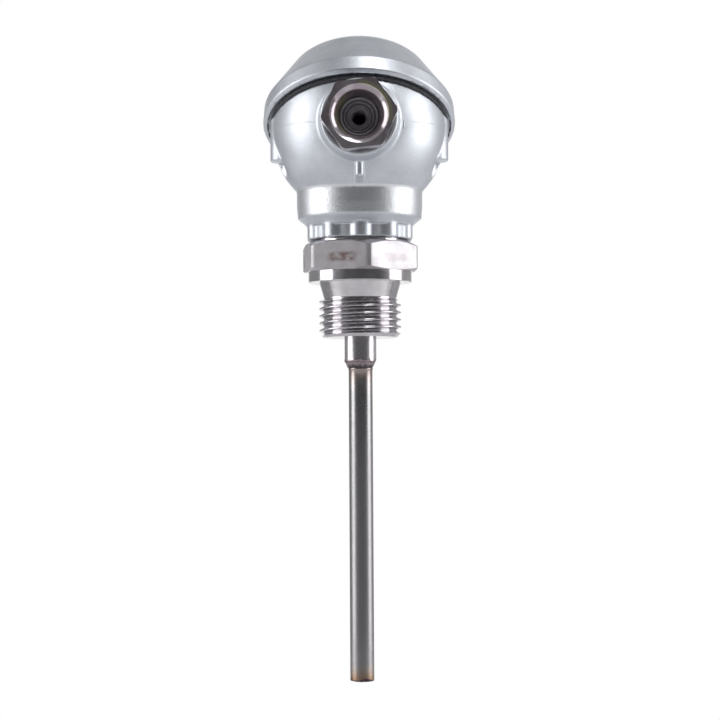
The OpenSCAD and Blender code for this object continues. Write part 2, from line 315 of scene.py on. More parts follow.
@dataclass(frozen=True)
class SilverCoat(Finish):
    """Silver lacquer over die-cast aluminium: flakes, a fine orange peel and a cast grain.

    Attributes:
        part: the casting that it is for; the body has a coarse neck and a mould seam.
        tone: colour of the lacquer.
        shade: its darker clouds.
        flake_tone: colour of the flakes.
        dirt_tone: colour in the pits and between the coarse grains.
        dust_tone: colour of the light specks.
        rubbed_tone: painted light, a paler colour that lightens the neck.
        least_grain: share of the coarse grain outside the neck.
        grain_mm: height of the coarse grain.
        seam_mm: height of the mould's seam.
        flash_mm: height of the remnant of flash on the seam.
        neck_top: upper end of the coarse neck.
        neck_low: its lower end.
        seam_z: height of the seam.
        flash: X and Z of the remnant.
    """

    part: str = "body"
    tone: Colour = (0.67, 0.695, 0.74)
    shade: Colour = (0.55, 0.575, 0.62)
    flake_tone: Colour = (0.86, 0.87, 0.90)
    dirt_tone: Colour = (0.24, 0.24, 0.26)
    dust_tone: Colour = (0.92, 0.92, 0.93)
    rubbed_tone: Colour = (0.90, 0.91, 0.93)
    least_grain: float = 0.06
    grain_mm: float = 0.085
    seam_mm: float = 0.05
    flash_mm: float = 0.10
    neck_top: float = 23.2
    neck_low: float = 16.6
    seam_z: float = 38.3
    flash: tuple[float, float] = (10.9, 37.5)

    def name(self) -> str:
        """One material for each casting."""
        return f"silver_coat_{self.part}"

    def sockets(self, graph: Graph) -> Sockets:
        """Clouded silver, with the coarse grain where the casting's skin is rough.

        Args:
            graph: the material's graph.

        Returns:
            The value of, or the link into, each of the shader's sockets.
        """
        place = graph.place()
        x, y, z = graph.axes(place)
        clouds = graph.noise(place, 9.0, 3.0)
        flakes = graph.noise(place, 0.24, 2.0, roughness=0.7)
        peel = graph.noise(place, 0.9, 2.0)
        grain = graph.noise(place, 0.48, 3.0, roughness=0.65)
        dust = graph.cells(place, 1.1).step(0.20, 0.10) * graph.noise(place, 2.2).step(0.5, 0.6)
        pits = graph.cells(place, 1.7).step(0.16, 0.02) * graph.noise(place, 3.0).step(0.55, 0.7)
        coarse, neck = self.least_grain, 0.0
        height = peel * 0.004 + flakes * 0.012 - pits * 0.012
        if self.part == "body":
            middle, half = (self.neck_top + self.neck_low) / 2, (self.neck_top - self.neck_low) / 2
            neck = z.band(middle, half, 0.3)
            coarse = self.least_grain + (1 - self.least_grain) * neck
            height = height + self._seam(graph, place, x, y, z)
        height = height + grain * coarse * self.grain_mm
        tint = graph.blend(clouds.step(0.3, 0.75), self.tone, self.shade)
        speckle = graph.blend(flakes.step(0.45, 0.75) * 0.4, tint, self.flake_tone)
        # Darker colour in the pits and in the low parts of the coarse grain.
        low_spots = pits * 0.5 + coarse * grain.step(0.45, 0.35) * 0.35
        colour = graph.blend(low_spots, speckle, self.dirt_tone)
        colour = graph.blend(dust * 0.8, colour, self.dust_tone)
        # Painted light: the coarse neck is lightened towards a paler colour.
        colour = graph.blend(neck * 0.5, colour, self.rubbed_tone)
        rough = 0.37 + clouds * 0.06 - neck * 0.10 + flakes * 0.07
        return {
            "Base Color": colour,
            "Metallic": 0.92,
            "Roughness": rough,
            "Normal": graph.relief(height),
            "Coat Weight": 0.10,
            "Coat Roughness": 0.2,
        }

    def _seam(self, graph: Graph, place: Signal, x: Signal, y: Signal, z: Signal) -> Signal:
        """The thin raised line that the mould's joint leaves on either side of the gland.

        Args:
            graph: the material's graph.
            place: where the noise is read.
            x: X in millimetres.
            y: Y in millimetres.
            z: Z in millimetres.

        Returns:
            Height of the line in millimetres.
        """
        wander = graph.noise(place, 5.0) * 0.5 - 0.25
        broken = graph.noise(place, 1.3).step(0.3, 0.55)
        line = (z + wander).band(self.seam_z, 0.04, 0.14)
        in_front = y.step(-6.0, -9.0)
        outside = in_front * abs(x).step(8.8, 9.6) * abs(x).step(20.5, 17.0)
        flash_x, flash_z = self.flash
        flash = (x + wander * 2.4).band(flash_x, 0.05, 0.16) * z.band(flash_z, 0.9, 0.3) * in_front
        return line * outside * broken * self.seam_mm + flash * self.flash_mm


@dataclass(frozen=True)
class TurnedSteel(Finish):
    """Stainless steel as it leaves the lathe: fine rings, a few scratches and stains on the hexagon.

    Attributes:
        tone: colour of the metal.
        shade: its darker clouds.
        hex_low: lower end of the hexagon.
        hex_top: its upper end.
        stain_tone: colour of the faint stains on the flats.
        smear_tone: colour of the brown smears.
        smear_x: X of the smear on the left flat, on the right flat and at the left edge.
        smear_z: height of the smears.
    """

    tone: Colour = (0.65, 0.63, 0.655)
    shade: Colour = (0.53, 0.505, 0.525)
    hex_low: float = 2.7
    hex_top: float = 9.9
    stain_tone: Colour = (0.40, 0.33, 0.32)
    smear_tone: Colour = (0.25, 0.155, 0.145)
    smear_x: tuple[float, float, float] = (-4.5, 9.45, -14.4)
    smear_z: float = 5.7

    def name(self) -> str:
        """The material's name."""
        return "turned_steel_fitting"

    def sockets(self, graph: Graph) -> Sockets:
        """Bright metal with rings round the axis; the hexagon's flats are ground and smeared.

        Args:
            graph: the material's graph.

        Returns:
            The value of, or the link into, each of the shader's sockets.
        """
        place = graph.place()
        x, y, z = graph.axes(place)
        rings = graph.noise(place, 0.12, 2.0, stretch=(400.0, 400.0, 1.0))
        coarse_rings = graph.noise(place, 0.6, 1.0, stretch=(200.0, 200.0, 1.0))
        smudge = graph.noise(place, 4.0, 3.0)
        scratch = graph.noise(place, 0.14, 1.0, stretch=(30.0, 30.0, 1.5)).step(0.66, 0.74)
        flats = z.band((self.hex_low + self.hex_top) / 2, (self.hex_top - self.hex_low) / 2, 0.1)
        colour = graph.blend(smudge.step(0.35, 0.75), self.tone, self.shade)
        ground = graph.noise(place, 0.22, 3.0, roughness=0.7, stretch=(6.0, 6.0, 1.0))
        left_x, right_x, edge_x = self.smear_x
        grime = graph.noise(place, 1.9, 3.0, roughness=0.6).step(0.20, 0.66)
        left = x.band(left_x, 2.2, 2.0) * 0.95
        right = x.band(right_x, 1.6, 2.6) * 0.25
        marks = (left + right) * z.band(self.smear_z, 0.5, 1.1) * y.step(-7.0, -9.0) * grime
        edge = x.band(edge_x, 0.2, 0.45) * z.band(self.smear_z, 1.2, 0.9) * grime
        marks = marks + edge * 0.6
        stain = graph.noise(place, 1.8, 4.0, roughness=0.7).step(0.56, 0.72) * flats
        colour = graph.blend(stain * 0.35, colour, self.stain_tone)
        colour = graph.blend(marks * flats, colour, self.smear_tone)
        rough = 0.10 + smudge * 0.06 + coarse_rings * 0.03
        rough = rough + flats * (0.24 + ground * 0.12) + scratch * 0.1
        height = (rings * 0.0008 + coarse_rings * 0.0012) * (1 - flats) + scratch * 0.001
        height = height + ground * flats * 0.007
        return {
            "Base Color": colour,
            "Metallic": 1.0,
            "Roughness": rough,
            "Normal": graph.relief(height),
        }


@dataclass(frozen=True)
class DrawnSteel(Finish):
    """Drawn stainless tube with the straw and brown tints that welding leaves.

    Attributes:
        tone: colour of the metal away from the welds.
        mottle_tone: its darker spots.
        tip_z: height of the welded tip.
        tip_reach: how far the tip's tints reach.
        weld_z: height of the weld to the support tube.
        weld_reach: how far that weld's tints reach.
    """

    tone: Colour = (0.35, 0.34, 0.35)
    mottle_tone: Colour = (0.25, 0.24, 0.25)
    tip_z: float = -100.0
    tip_reach: float = 4.6
    weld_z: float = -21.2
    weld_reach: float = 7.0

    def name(self) -> str:
        """The material's name."""
        return "drawn_steel_sheath"

    def sockets(self, graph: Graph) -> Sockets:
        """Satin metal with fine lines along the tube and heat tints at its two welds.

        Args:
            graph: the material's graph.

        Returns:
            The value of, or the link into, each of the shader's sockets.
        """
        place = graph.place()
        z = graph.axes(place)[2]
        uneven = (graph.noise(place, 2.5, 2.0) - 0.5) * 1.6
        lines = graph.noise(place, 0.10, 2.0, stretch=(1.0, 1.0, 60.0))
        mottle = graph.noise(place, 1.2, 3.0, stretch=(1.0, 1.0, 2.5))
        tip = ((z + uneven - self.tip_z) / self.tip_reach).clamped()
        tip_tint = graph.ramp(
            tip,
            [
                (0.00, (0.025, 0.018, 0.035)),
                (0.12, (0.10, 0.07, 0.09)),
                (0.22, (0.34, 0.225, 0.15)),
                (0.45, (0.39, 0.30, 0.24)),
                (0.80, (0.38, 0.345, 0.33)),
                (1.00, self.tone),
            ],
        )
        weld = ((self.weld_z - z + uneven) / self.weld_reach).clamped()
        weld_tint = graph.ramp(
            weld,
            [
                (0.00, (0.44, 0.40, 0.41)),
                (0.08, (0.32, 0.265, 0.265)),
                (0.22, (0.42, 0.355, 0.33)),
                (0.60, (0.42, 0.395, 0.395)),
                (1.00, self.tone),
            ],
        )
        colour = graph.blend(z.step(-70.0, -80.0), weld_tint, tip_tint)
        colour = graph.blend(mottle.step(0.5, 0.85) * 0.4, colour, self.mottle_tone)
        sooty = tip.step(0.4, 0.0) * 0.06 + z.step(-86.0, -95.0) * 0.07
        return {
            "Base Color": colour,
            "Metallic": 1.0,
            "Roughness": 0.19 + z.step(-24.0, -50.0) * 0.10 + mottle * 0.12 + sooty,
            "Normal": graph.relief(lines * 0.002 + mottle * 0.003),
        }


@dataclass(frozen=True)
class TubeSteel(Finish):
    """Bright turned tube whose lower end is browned by the weld.

    Attributes:
        tone: colour of the metal.
        end_z: height where the tube draws in to the weld.
    """

    tone: Colour = (0.64, 0.615, 0.635)
    end_z: float = -19.5

    def sockets(self, graph: Graph) -> Sockets:
        """Bright above, brown and straw on the bead.

        Args:
            graph: the material's graph.

        Returns:
            The value of, or the link into, each of the shader's sockets.
        """
        place = graph.place()
        z = graph.axes(place)[2]
        rings = graph.noise(place, 0.10, 2.0, stretch=(300.0, 300.0, 1.0))
        patches = graph.noise(place, 0.8, 3.0)
        heat = ((self.end_z + 0.3 - z + (patches - 0.5) * 1.6) / 2.1).clamped()
        tint = graph.ramp(
            heat,
            [
                (0.00, self.tone),
                (0.16, (0.46, 0.39, 0.39)),
                (0.36, (0.20, 0.155, 0.18)),
                (0.60, (0.36, 0.30, 0.30)),
                (0.80, (0.16, 0.13, 0.15)),
                (1.00, (0.09, 0.07, 0.085)),
            ],
        )
        bead = z.step(self.end_z + 0.1, self.end_z - 0.3)
        return {
            "Base Color": tint,
            "Metallic": 1.0,
            "Roughness": 0.22 + patches * 0.08 + bead * 0.08,
            "Normal": graph.relief(rings * 0.001 * (1 - bead) + patches * bead * 0.05),
        }


@dataclass(frozen=True)
class NickelPlate(Finish):
    """Nickel over brass: a warm grey mirror with brown clouds and painted olive reflections.

    Attributes:
        tone: colour of the plate.
        olive: colour of the patches.
        brown: colour of the clouds.
        face_y: where the hexagon's face is, which is duller.
        axis_z: height of the gland's axis.
    """

    tone: Colour = (0.57, 0.53, 0.56)
    # olive: colour of the painted reflections on the brim and in the throat.
    olive: Colour = (0.60, 0.58, 0.40)
    brown: Colour = (0.42, 0.36, 0.40)
    face_y: float = -32.5
    axis_z: float = 38.4

    def sockets(self, graph: Graph) -> Sockets:
        """Bright plate with brown clouds, a painted olive reflection on one side of the brim and of the
        throat, and a duller throat.

        Args:
            graph: the material's graph.

        Returns:
            The value of, or the link into, each of the shader's sockets.
        """
        place = graph.place()
        clouds = graph.noise(place, 5.0, 2.0)
        fine = graph.noise(place, 0.5, 3.0)
        x, y, z = graph.axes(place)
        face = y.band(self.face_y, 0.04, 0.02)
        up = z - self.axis_z
        radius = (x * x + up * up) ** 0.5
        throat = radius.step(6.0, 5.7)
        # Painted reflection: an olive band on the upper right of the brim and on the left of the
        # throat.
        outer = radius.band(7.5, 0.35, 0.4) * (x + up * 0.8).step(4.5, 7.5)
        inner = throat * x.step(-2.0, -4.0)
        colour = graph.blend(clouds.step(0.42, 0.62), self.brown, self.tone)
        colour = graph.blend((outer + inner) * (0.5 + clouds * 0.7), colour, self.olive)
        return {
            "Base Color": colour,
            "Metallic": 1.0,
            "Roughness": 0.11 + fine * 0.06 + clouds * 0.05 + face * 0.15 + throat * 0.3,
            "Normal": graph.relief(fine * 0.0025),
        }


@dataclass(frozen=True)
class MouldedRubber(Finish):
    """Matt rubber with a bloom of dust."""

    label: str = "gasket"
    tone: Colour = (0.055, 0.056, 0.064)
    bloom: Colour = (0.17, 0.17, 0.19)

    def name(self) -> str:
        """One material for each rubber."""
        return f"rubber_{self.label}"

    def sockets(self, graph: Graph) -> Sockets:
        """Dark and matt, with dust and a fine skin.

        Args:
            graph: the material's graph.

        Returns:
            The value of, or the link into, each of the shader's sockets.
        """
        place = graph.place()
        dust = graph.noise(place, 0.7, 4.0, roughness=0.65)
        skin = graph.noise(place, 0.25, 2.0)
        return {
            "Base Color": graph.blend(dust.step(0.45, 0.8), self.tone, self.bloom),
            "Roughness": 0.5 + dust * 0.25,
            "Normal": graph.relief(skin * 0.006 + dust * 0.004),
        }


@dataclass(frozen=True)
class PlainMetal(Finish):
    """Small metal pieces: zinc-plated screws or machined brass, with rubbed spots."""

    label: str = "zinc"
    tone: Colour = (0.70, 0.71, 0.70)
    spot: Colour = (0.46, 0.45, 0.42)
    gloss: float = 0.24

    def name(self) -> str:
        """One material for each metal."""
        return f"metal_{self.label}"

    def sockets(self, graph: Graph) -> Sockets:
        """Metal with clouds, fine scratches and duller spots.

        Args:
            graph: the material's graph.

        Returns:
            The value of, or the link into, each of the shader's sockets.
        """
        place = graph.place()
        clouds = graph.noise(place, 1.4, 3.0)
        fine = graph.noise(place, 0.12, 2.0, stretch=(4.0, 1.0, 1.0))
        return {
            "Base Color": graph.blend(clouds.step(0.45, 0.75), self.tone, self.spot),
            "Metallic": 1.0,
            "Roughness": self.gloss + clouds * 0.15 + fine * 0.05,
            "Normal": graph.relief(fine * 0.003),
        }


@dataclass(frozen=True)
class Earthy(Finish):
    """Ceramic, fibre, resin and wire insulation: a dull body with a fine grain."""

    label: str = "steatite"
    tone: Colour = (0.80, 0.77, 0.68)
    stain: Colour = (0.62, 0.58, 0.50)
    dull: float = 0.6
    grain_mm: float = 0.3

    def name(self) -> str:
        """One material for each stuff."""
        return f"dull_{self.label}"

    def sockets(self, graph: Graph) -> Sockets:
        """A clouded colour with specks and a pressed grain.

        Args:
            graph: the material's graph.

        Returns:
            The value of, or the link into, each of the shader's sockets.
        """
        place = graph.place()
        clouds = graph.noise(place, 2.5, 3.0)
        grain = graph.noise(place, self.grain_mm, 3.0)
        tint = graph.blend(clouds.step(0.4, 0.8) * 0.6, self.tone, self.stain)
        return {
            "Base Color": graph.blend(grain.step(0.66, 0.8) * 0.5, tint, self.stain),
            "Roughness": self.dull + grain * 0.15,
            "Normal": graph.relief(grain * 0.006 * (self.grain_mm / 0.3)),
        }


def dress(piece: bpy.types.Object, finish: Finish) -> bpy.types.Object:
    """Puts a finish on all of a piece.

    Args:
        piece: the piece.
        finish: its finish.

    Returns:
        The piece.
    """
    piece.data.materials.clear()
    piece.data.materials.append(finish.material())
    return piece


# ---------------------------------------------------------------- meshes


def new_piece(
    name: str, points_mm: np.ndarray, faces: Sequence[Sequence[int]], crease_deg: float = 35.0
) -> bpy.types.Object:
    """Makes a mesh object with smooth faces and crisp creases.

    Args:
        name: the piece's name.
        points_mm: its vertices, in millimetres in the row frame.
        faces: the vertices of each face.
        crease_deg: edges sharper than this stay crisp.

    Returns:
        The object, linked to the scene.
    """
    mesh = bpy.data.meshes.new(name)
    mesh.from_pydata((np.asarray(points_mm, float) * MM).tolist(), [], [tuple(f) for f in faces])
    mesh.validate()
    mesh.shade_smooth()
    mesh.set_sharp_from_angle(angle=math.radians(crease_deg))
    piece = bpy.data.objects.new(name, mesh)
    bpy.context.scene.collection.objects.link(piece)
    return piece


def arc(
    centre: tuple[float, float], radius: float, start: float, end: float, steps: int
) -> list[tuple[float, float]]:
    """Points of an arc, angles in degrees."""
    turns = np.radians(np.linspace(start, end, steps + 1))
    return [(centre[0] + radius * math.cos(t), centre[1] + radius * math.sin(t)) for t in turns]


def filled(outline: Outline, step: float) -> list[tuple[float, float]]:
    """Adds points to an open outline so that none is further than step from the next.

    Args:
        outline: the open outline's corners.
        step: the widest gap to leave.

    Returns:
        The corners with the added points between them.
    """
    made = [tuple(outline[0])]
    for a, b in zip(outline, outline[1:], strict=False):
        count = max(1, math.ceil(math.dist(a, b) / step))
        made += [(a[0] + (b[0] - a[0]) * k / count, a[1] + (b[1] - a[1]) * k / count)
                 for k in range(1, count + 1)]
    return made


@dataclass(frozen=True)
class Hexagon:
    """A hexagonal bar whose corners are turned down to a radius.

    Attributes:
        across_flats: the hexagon's size.
        corner_deg: direction of one corner.
        corner_r: the radius that the corners are turned down to.
    """

    across_flats: float
    corner_deg: float
    corner_r: float

    def radius(self, angles: np.ndarray) -> np.ndarray:
        """Its radius in each direction.

        Args:
            angles: directions in radians.

        Returns:
            The bar's radius in each direction.
        """
        local = np.mod(angles - math.radians(self.corner_deg), TAU / 6) - TAU / 12
        flat = self.across_flats / 2 / np.cos(local)
        return np.minimum(flat, self.corner_r)


@dataclass(frozen=True)
class Thread:
    """A right-handed thread with rounded crests and roots.

    Attributes:
        crest: radius at the crests.
        pitch: rise in one turn.
        depth: height of the ridges.
        flank_deg: angle between a flank and the radial plane.
        rounding: radius of crests and roots.
        crest_z: height of a crest in the direction of +X.
    """

    crest: float
    pitch: float
    depth: float
    flank_deg: float
    rounding: float
    crest_z: float

    def radius(self, angles: np.ndarray, z: np.ndarray) -> np.ndarray:
        """Radius of the threaded surface in each direction and at each height.

        Args:
            angles: directions in radians.
            z: heights in millimetres.

        Returns:
            Radius of the threaded surface at each.
        """
        turns = (z - self.crest_z) / self.pitch - angles / TAU
        x = np.abs(turns - np.round(turns)) * self.pitch
        slope = 1 / math.tan(math.radians(self.flank_deg))
        middle = self.crest - self.depth / 2
        flank = middle + (self.pitch / 4 - x) * slope
        reach = self.rounding * math.cos(math.radians(self.flank_deg))
        away = self.pitch / 2 - x
        top = self.crest - self.rounding + np.sqrt(np.maximum(self.rounding**2 - x**2, 0))
        low = self.crest - self.depth + self.rounding
        low = low - np.sqrt(np.maximum(self.rounding**2 - away**2, 0))
        ridge = np.where(away < reach, np.maximum(low, flank), flank)
        return np.where(x < reach, np.minimum(top, flank), ridge)


def revolve(
    outline: Outline,
    segments: int = 192,
    start_deg: float = 0.0,
    cut: RadiusLimit | None = None,
) -> tuple[np.ndarray, list[tuple[int, ...]]]:
    """Turns a closed outline about the Z axis.

    Args:
        outline: (radius, height) points, with the solid on their left.
        segments: faces round the axis.
        start_deg: direction of the first meridian.
        cut: gives the largest radius at each (angle, height), where something is cut in.

    Returns:
        Vertices and faces.
    """
    angles = math.radians(start_deg) + TAU * np.arange(segments) / segments
    rings = np.array(outline, float)
    radius = np.repeat(rings[:, :1], segments, axis=1)
    height = np.repeat(rings[:, 1:], segments, axis=1)
    if cut is not None:
        radius = np.minimum(radius, cut(angles[None, :], height))
    points = np.stack([radius * np.cos(angles), radius * np.sin(angles), height], axis=-1)
    count = len(rings)
    faces = []
    for i in range(count):
        j = (i + 1) % count
        if rings[i, 0] == 0 and rings[j, 0] == 0:
            continue
        for k in range(segments):
            n = (k + 1) % segments
            faces.append((i * segments + k, i * segments + n, j * segments + n, j * segments + k))
    return points.reshape(-1, 3), faces


def welded(
    points: np.ndarray, faces: Sequence[Sequence[int]]
) -> tuple[np.ndarray, list[tuple[int, ...]]]:
    """Joins vertices that meet, and drops faces that this leaves without area.

    Args:
        points: the vertices.
        faces: the vertices of each face.

    Returns:
        The vertices that are left, and the faces.
    """
    keys = np.round(points, 5)
    unique, inverse = np.unique(keys, axis=0, return_inverse=True)
    inverse = inverse.ravel()
    kept = []
    for face in faces:
        seen = list(dict.fromkeys(inverse[list(face)].tolist()))
        if len(seen) > 2:
            kept.append(tuple(seen))
    return unique, kept


def surface_nets(
    distance: DistanceField, low: Sequence[float], high: Sequence[float], step: float
) -> tuple[np.ndarray, np.ndarray]:
    """Meshes the zero surface of a distance field with one vertex in each cell that it crosses.

    Args:
        distance: the field, negative inside.
        low: lowest corner of the space to search.
        high: highest corner of it.
        step: the cells' width.

    Returns:
        Vertices, and quads wound outwards.
    """
    axes = [np.arange(a, b + step, step) for a, b in zip(low, high, strict=True)]
    size = [len(a) for a in axes]
    values = np.empty(size)
    for i, z in enumerate(axes[2]):
        sheet = np.stack(np.meshgrid(axes[0], axes[1], [z], indexing="ij"), axis=-1)
        values[:, :, i] = distance(sheet.reshape(-1, 3)).reshape(size[0], size[1])
    cells = [n - 1 for n in size]
    total, count = np.zeros((*cells, 3)), np.zeros(cells)
    for axis in range(3):
        others = [a for a in range(3) if a != axis]
        for du in (0, 1):
            for dv in (0, 1):
                start = [0, 0, 0]
                start[others[0]], start[others[1]] = du, dv
                end = list(start)
                end[axis] = 1
                a, b = (values[tuple(slice(o, o + c) for o, c in zip(s, cells, strict=True))]
                        for s in (start, end))
                crossed = (a < 0) != (b < 0)
                share = a[crossed] / (a[crossed] - b[crossed])
                total[crossed, axis] += share
                total[crossed, others[0]] += du
                total[crossed, others[1]] += dv
                count[crossed] += 1
    active = count > 0
    index = np.full(cells, -1)
    index[active] = np.arange(active.sum())
    where = np.argwhere(active)
    points = np.array(low) + step * (where + total[active] / count[active][:, None])
    quads = []
    for axis in range(3):
        u, v = ((1, 2), (2, 0), (0, 1))[axis]
        ahead = [slice(None)] * 3
        behind = [slice(None)] * 3
        behind[axis], ahead[axis] = slice(0, -1), slice(1, None)
        a, b = values[tuple(behind)] < 0, values[tuple(ahead)] < 0
        found = np.argwhere(a != b)
        at_u, at_v = found[:, u], found[:, v]
        found = found[(at_u > 0) & (at_v > 0) & (at_u < cells[u]) & (at_v < cells[v])]
        corners = []
        for du, dv in ((-1, -1), (0, -1), (0, 0), (-1, 0)):
            cell = found.copy()
            cell[:, u] += du
            cell[:, v] += dv
            corners.append(index[tuple(cell.T)])
        made = np.stack(corners, axis=1)
        leaving = a[tuple(found.T)]
        made[~leaving] = made[~leaving][:, ::-1]
        quads.append(made)
    return points, np.concatenate(quads)


def settle(points: np.ndarray, distance: DistanceField, rounds: int, most: float) -> np.ndarray:
    """Moves points along a field's slope until they lie on its zero surface.

    Args:
        points: the points to move.
        distance: the field.
        rounds: how many times each is moved.
        most: the furthest one move may go.

    Returns:
        The moved points.
    """
    nudge, least_steep = 0.01, 0.2
    for _ in range(rounds):
        here = distance(points)
        slope = np.stack(
            [(distance(points + nudge * np.eye(3)[a]) - here) / nudge for a in range(3)], axis=1
        )
        steep = np.maximum((slope**2).sum(1), least_steep)
        points = points - np.clip(here / steep, -most, most)[:, None] * slope
    return points


# ---------------------------------------------------------------- distance fields


def join(a: np.ndarray, b: np.ndarray, fillet: float) -> np.ndarray:
    """Union with a fillet between the two."""
    share = np.clip(0.5 + 0.5 * (b - a) / fillet, 0, 1)
    return b * (1 - share) + a * share - fillet * share * (1 - share)


def overlap(a: np.ndarray, b: np.ndarray, rounding: float) -> np.ndarray:
    """Intersection with a rounded edge."""
    return -join(-a, -b, rounding)


def remove(a: np.ndarray, b: np.ndarray, rounding: float) -> np.ndarray:
    """What is left of a without b, with a rounded edge."""
    return -join(-a, b, rounding)


def ball(p: np.ndarray, centre: Sequence[float], radius: float) -> np.ndarray:
    """Distance to a ball."""
    return np.linalg.norm(p - np.array(centre), axis=1) - radius


def turned(p: np.ndarray, outline: Outline, rounding: float = 0.0) -> np.ndarray:
    """Distance to a body turned about Z.

    Args:
        p: points.
        outline: (radius, height) corners, counter-clockwise.
        rounding: radius of its convex edges; the outline is the sharp form.

    Returns:
        The signed distance at each point, negative inside.
    """
    corners = inset(np.array(outline, float), rounding) if rounding else np.array(outline, float)
    q = np.stack([np.hypot(p[:, 0], p[:, 1]), p[:, 2]], axis=1)
    return polygon_distance(q, corners) - rounding


def inset(corners: np.ndarray, by: float) -> np.ndarray:
    """Moves a counter-clockwise polygon's sides inwards; a side on the axis stays there.

    Args:
        corners: the polygon's corners.
        by: how far its sides move.

    Returns:
        The corners of the smaller polygon.
    """
    ahead = np.roll(corners, -1, axis=0)
    along = ahead - corners
    along = along / np.linalg.norm(along, axis=1, keepdims=True)
    inward = np.stack([-along[:, 1], along[:, 0]], axis=1)
    on_axis = (corners[:, 0] <= 0) & (ahead[:, 0] <= 0)
    shift = inward * np.where(on_axis, 0.0, by)[:, None]
    made = []
    for i in range(len(corners)):
        k = i - 1
        a, b = corners[i] + shift[k], corners[i] + shift[i]
        cross = along[k][0] * along[i][1] - along[k][1] * along[i][0]
        if abs(cross) < 1e-6:
            made.append(b)
            continue
        t = ((b - a)[0] * along[i][1] - (b - a)[1] * along[i][0]) / cross
        made.append(a + t * along[k])
    return np.array(made)


def polygon_distance(q: np.ndarray, corners: np.ndarray) -> np.ndarray:
    """Signed distance to a polygon in the plane.

    Args:
        q: points in the plane.
        corners: the polygon's corners.

    Returns:
        The signed distance at each point, negative inside.
    """
    best = np.full(len(q), np.inf)
    inside = np.zeros(len(q), bool)
    for a, b in zip(corners, np.roll(corners, -1, axis=0), strict=True):
        side = b - a
        t = np.clip(((q - a) @ side) / (side @ side), 0, 1)
        best = np.minimum(best, ((q - a - t[:, None] * side) ** 2).sum(1))
        if a[1] != b[1]:
            crosses = (a[1] > q[:, 1]) != (b[1] > q[:, 1])
            at = a[0] + (q[:, 1] - a[1]) * side[0] / side[1]
            inside ^= crosses & (q[:, 0] < at)
    best = np.sqrt(best)
    return np.where(inside, -best, best)


def upright_slot(p: np.ndarray, x: float, front: float, back: float, radius: float) -> np.ndarray:
    """Distance to an endless upright bar whose section is an obround along Y."""
    y = p[:, 1] - np.clip(p[:, 1], front, back)
    return np.hypot(p[:, 0] - x, y) - radius


# ---------------------------------------------------------------- frames of the inclined pieces


@dataclass(frozen=True)
class LidFrame:
    """The lid's own frame: origin on the probe's axis at the lid's edge, +Z along its axis."""

    tilt_deg: float = 27.0
    edge_z: float = 39.1

    def matrix(self) -> np.ndarray:
        """Rotation from the lid's frame to the row's."""
        return np.array(Euler((-math.radians(self.tilt_deg), 0, 0)).to_matrix())

    def to_row(self, points: np.ndarray) -> np.ndarray:
        """Points of the lid's frame, in the row frame."""
        return points @ self.matrix().T + np.array([0, 0, self.edge_z])

    def to_lid(self, points: np.ndarray) -> np.ndarray:
        """Points of the row frame, in the lid's frame."""
        return (points - np.array([0, 0, self.edge_z])) @ self.matrix()


@dataclass(frozen=True)
class GlandFrame:
    """The gland's frame: origin on its boss's face, +Z outwards along -Y, +Y up."""

    face_y: float = -26.2
    axis_z: float = 38.4

    def to_row(self, points: np.ndarray) -> np.ndarray:
        """Points of the gland's frame, in the row frame."""
        x, up, out = points.T
        return np.stack([x, self.face_y - out, self.axis_z + up], axis=1)

    def to_gland(self, points: np.ndarray) -> np.ndarray:
        """Points of the row frame, in the gland's frame."""
        x, y, z = points.T
        return np.stack([x, z - self.axis_z, self.face_y - y], axis=1)


# ---------------------------------------------------------------- castings


class Grid(Enum):
    """Width of the cells that a casting is meshed with, in millimetres."""

    FINE = 0.32
    COARSE = 0.55


def casting(
    name: str, distance: DistanceField, low: Sequence[float], high: Sequence[float]
) -> tuple[np.ndarray, np.ndarray]:
    """Args:
        name: the casting's name in the log.
        distance: its distance field.
        low: lowest corner of the space it fills.
        high: highest corner of it.

    Returns:
        Vertices and quads.
    """
    step = Grid.FINE.value
    points, quads = surface_nets(distance, low, high, step)
    points = settle(points, distance, SETTLE_ROUNDS, step / 2)
    LOG.info("%s: %d faces", name, len(quads))
    return points, quads


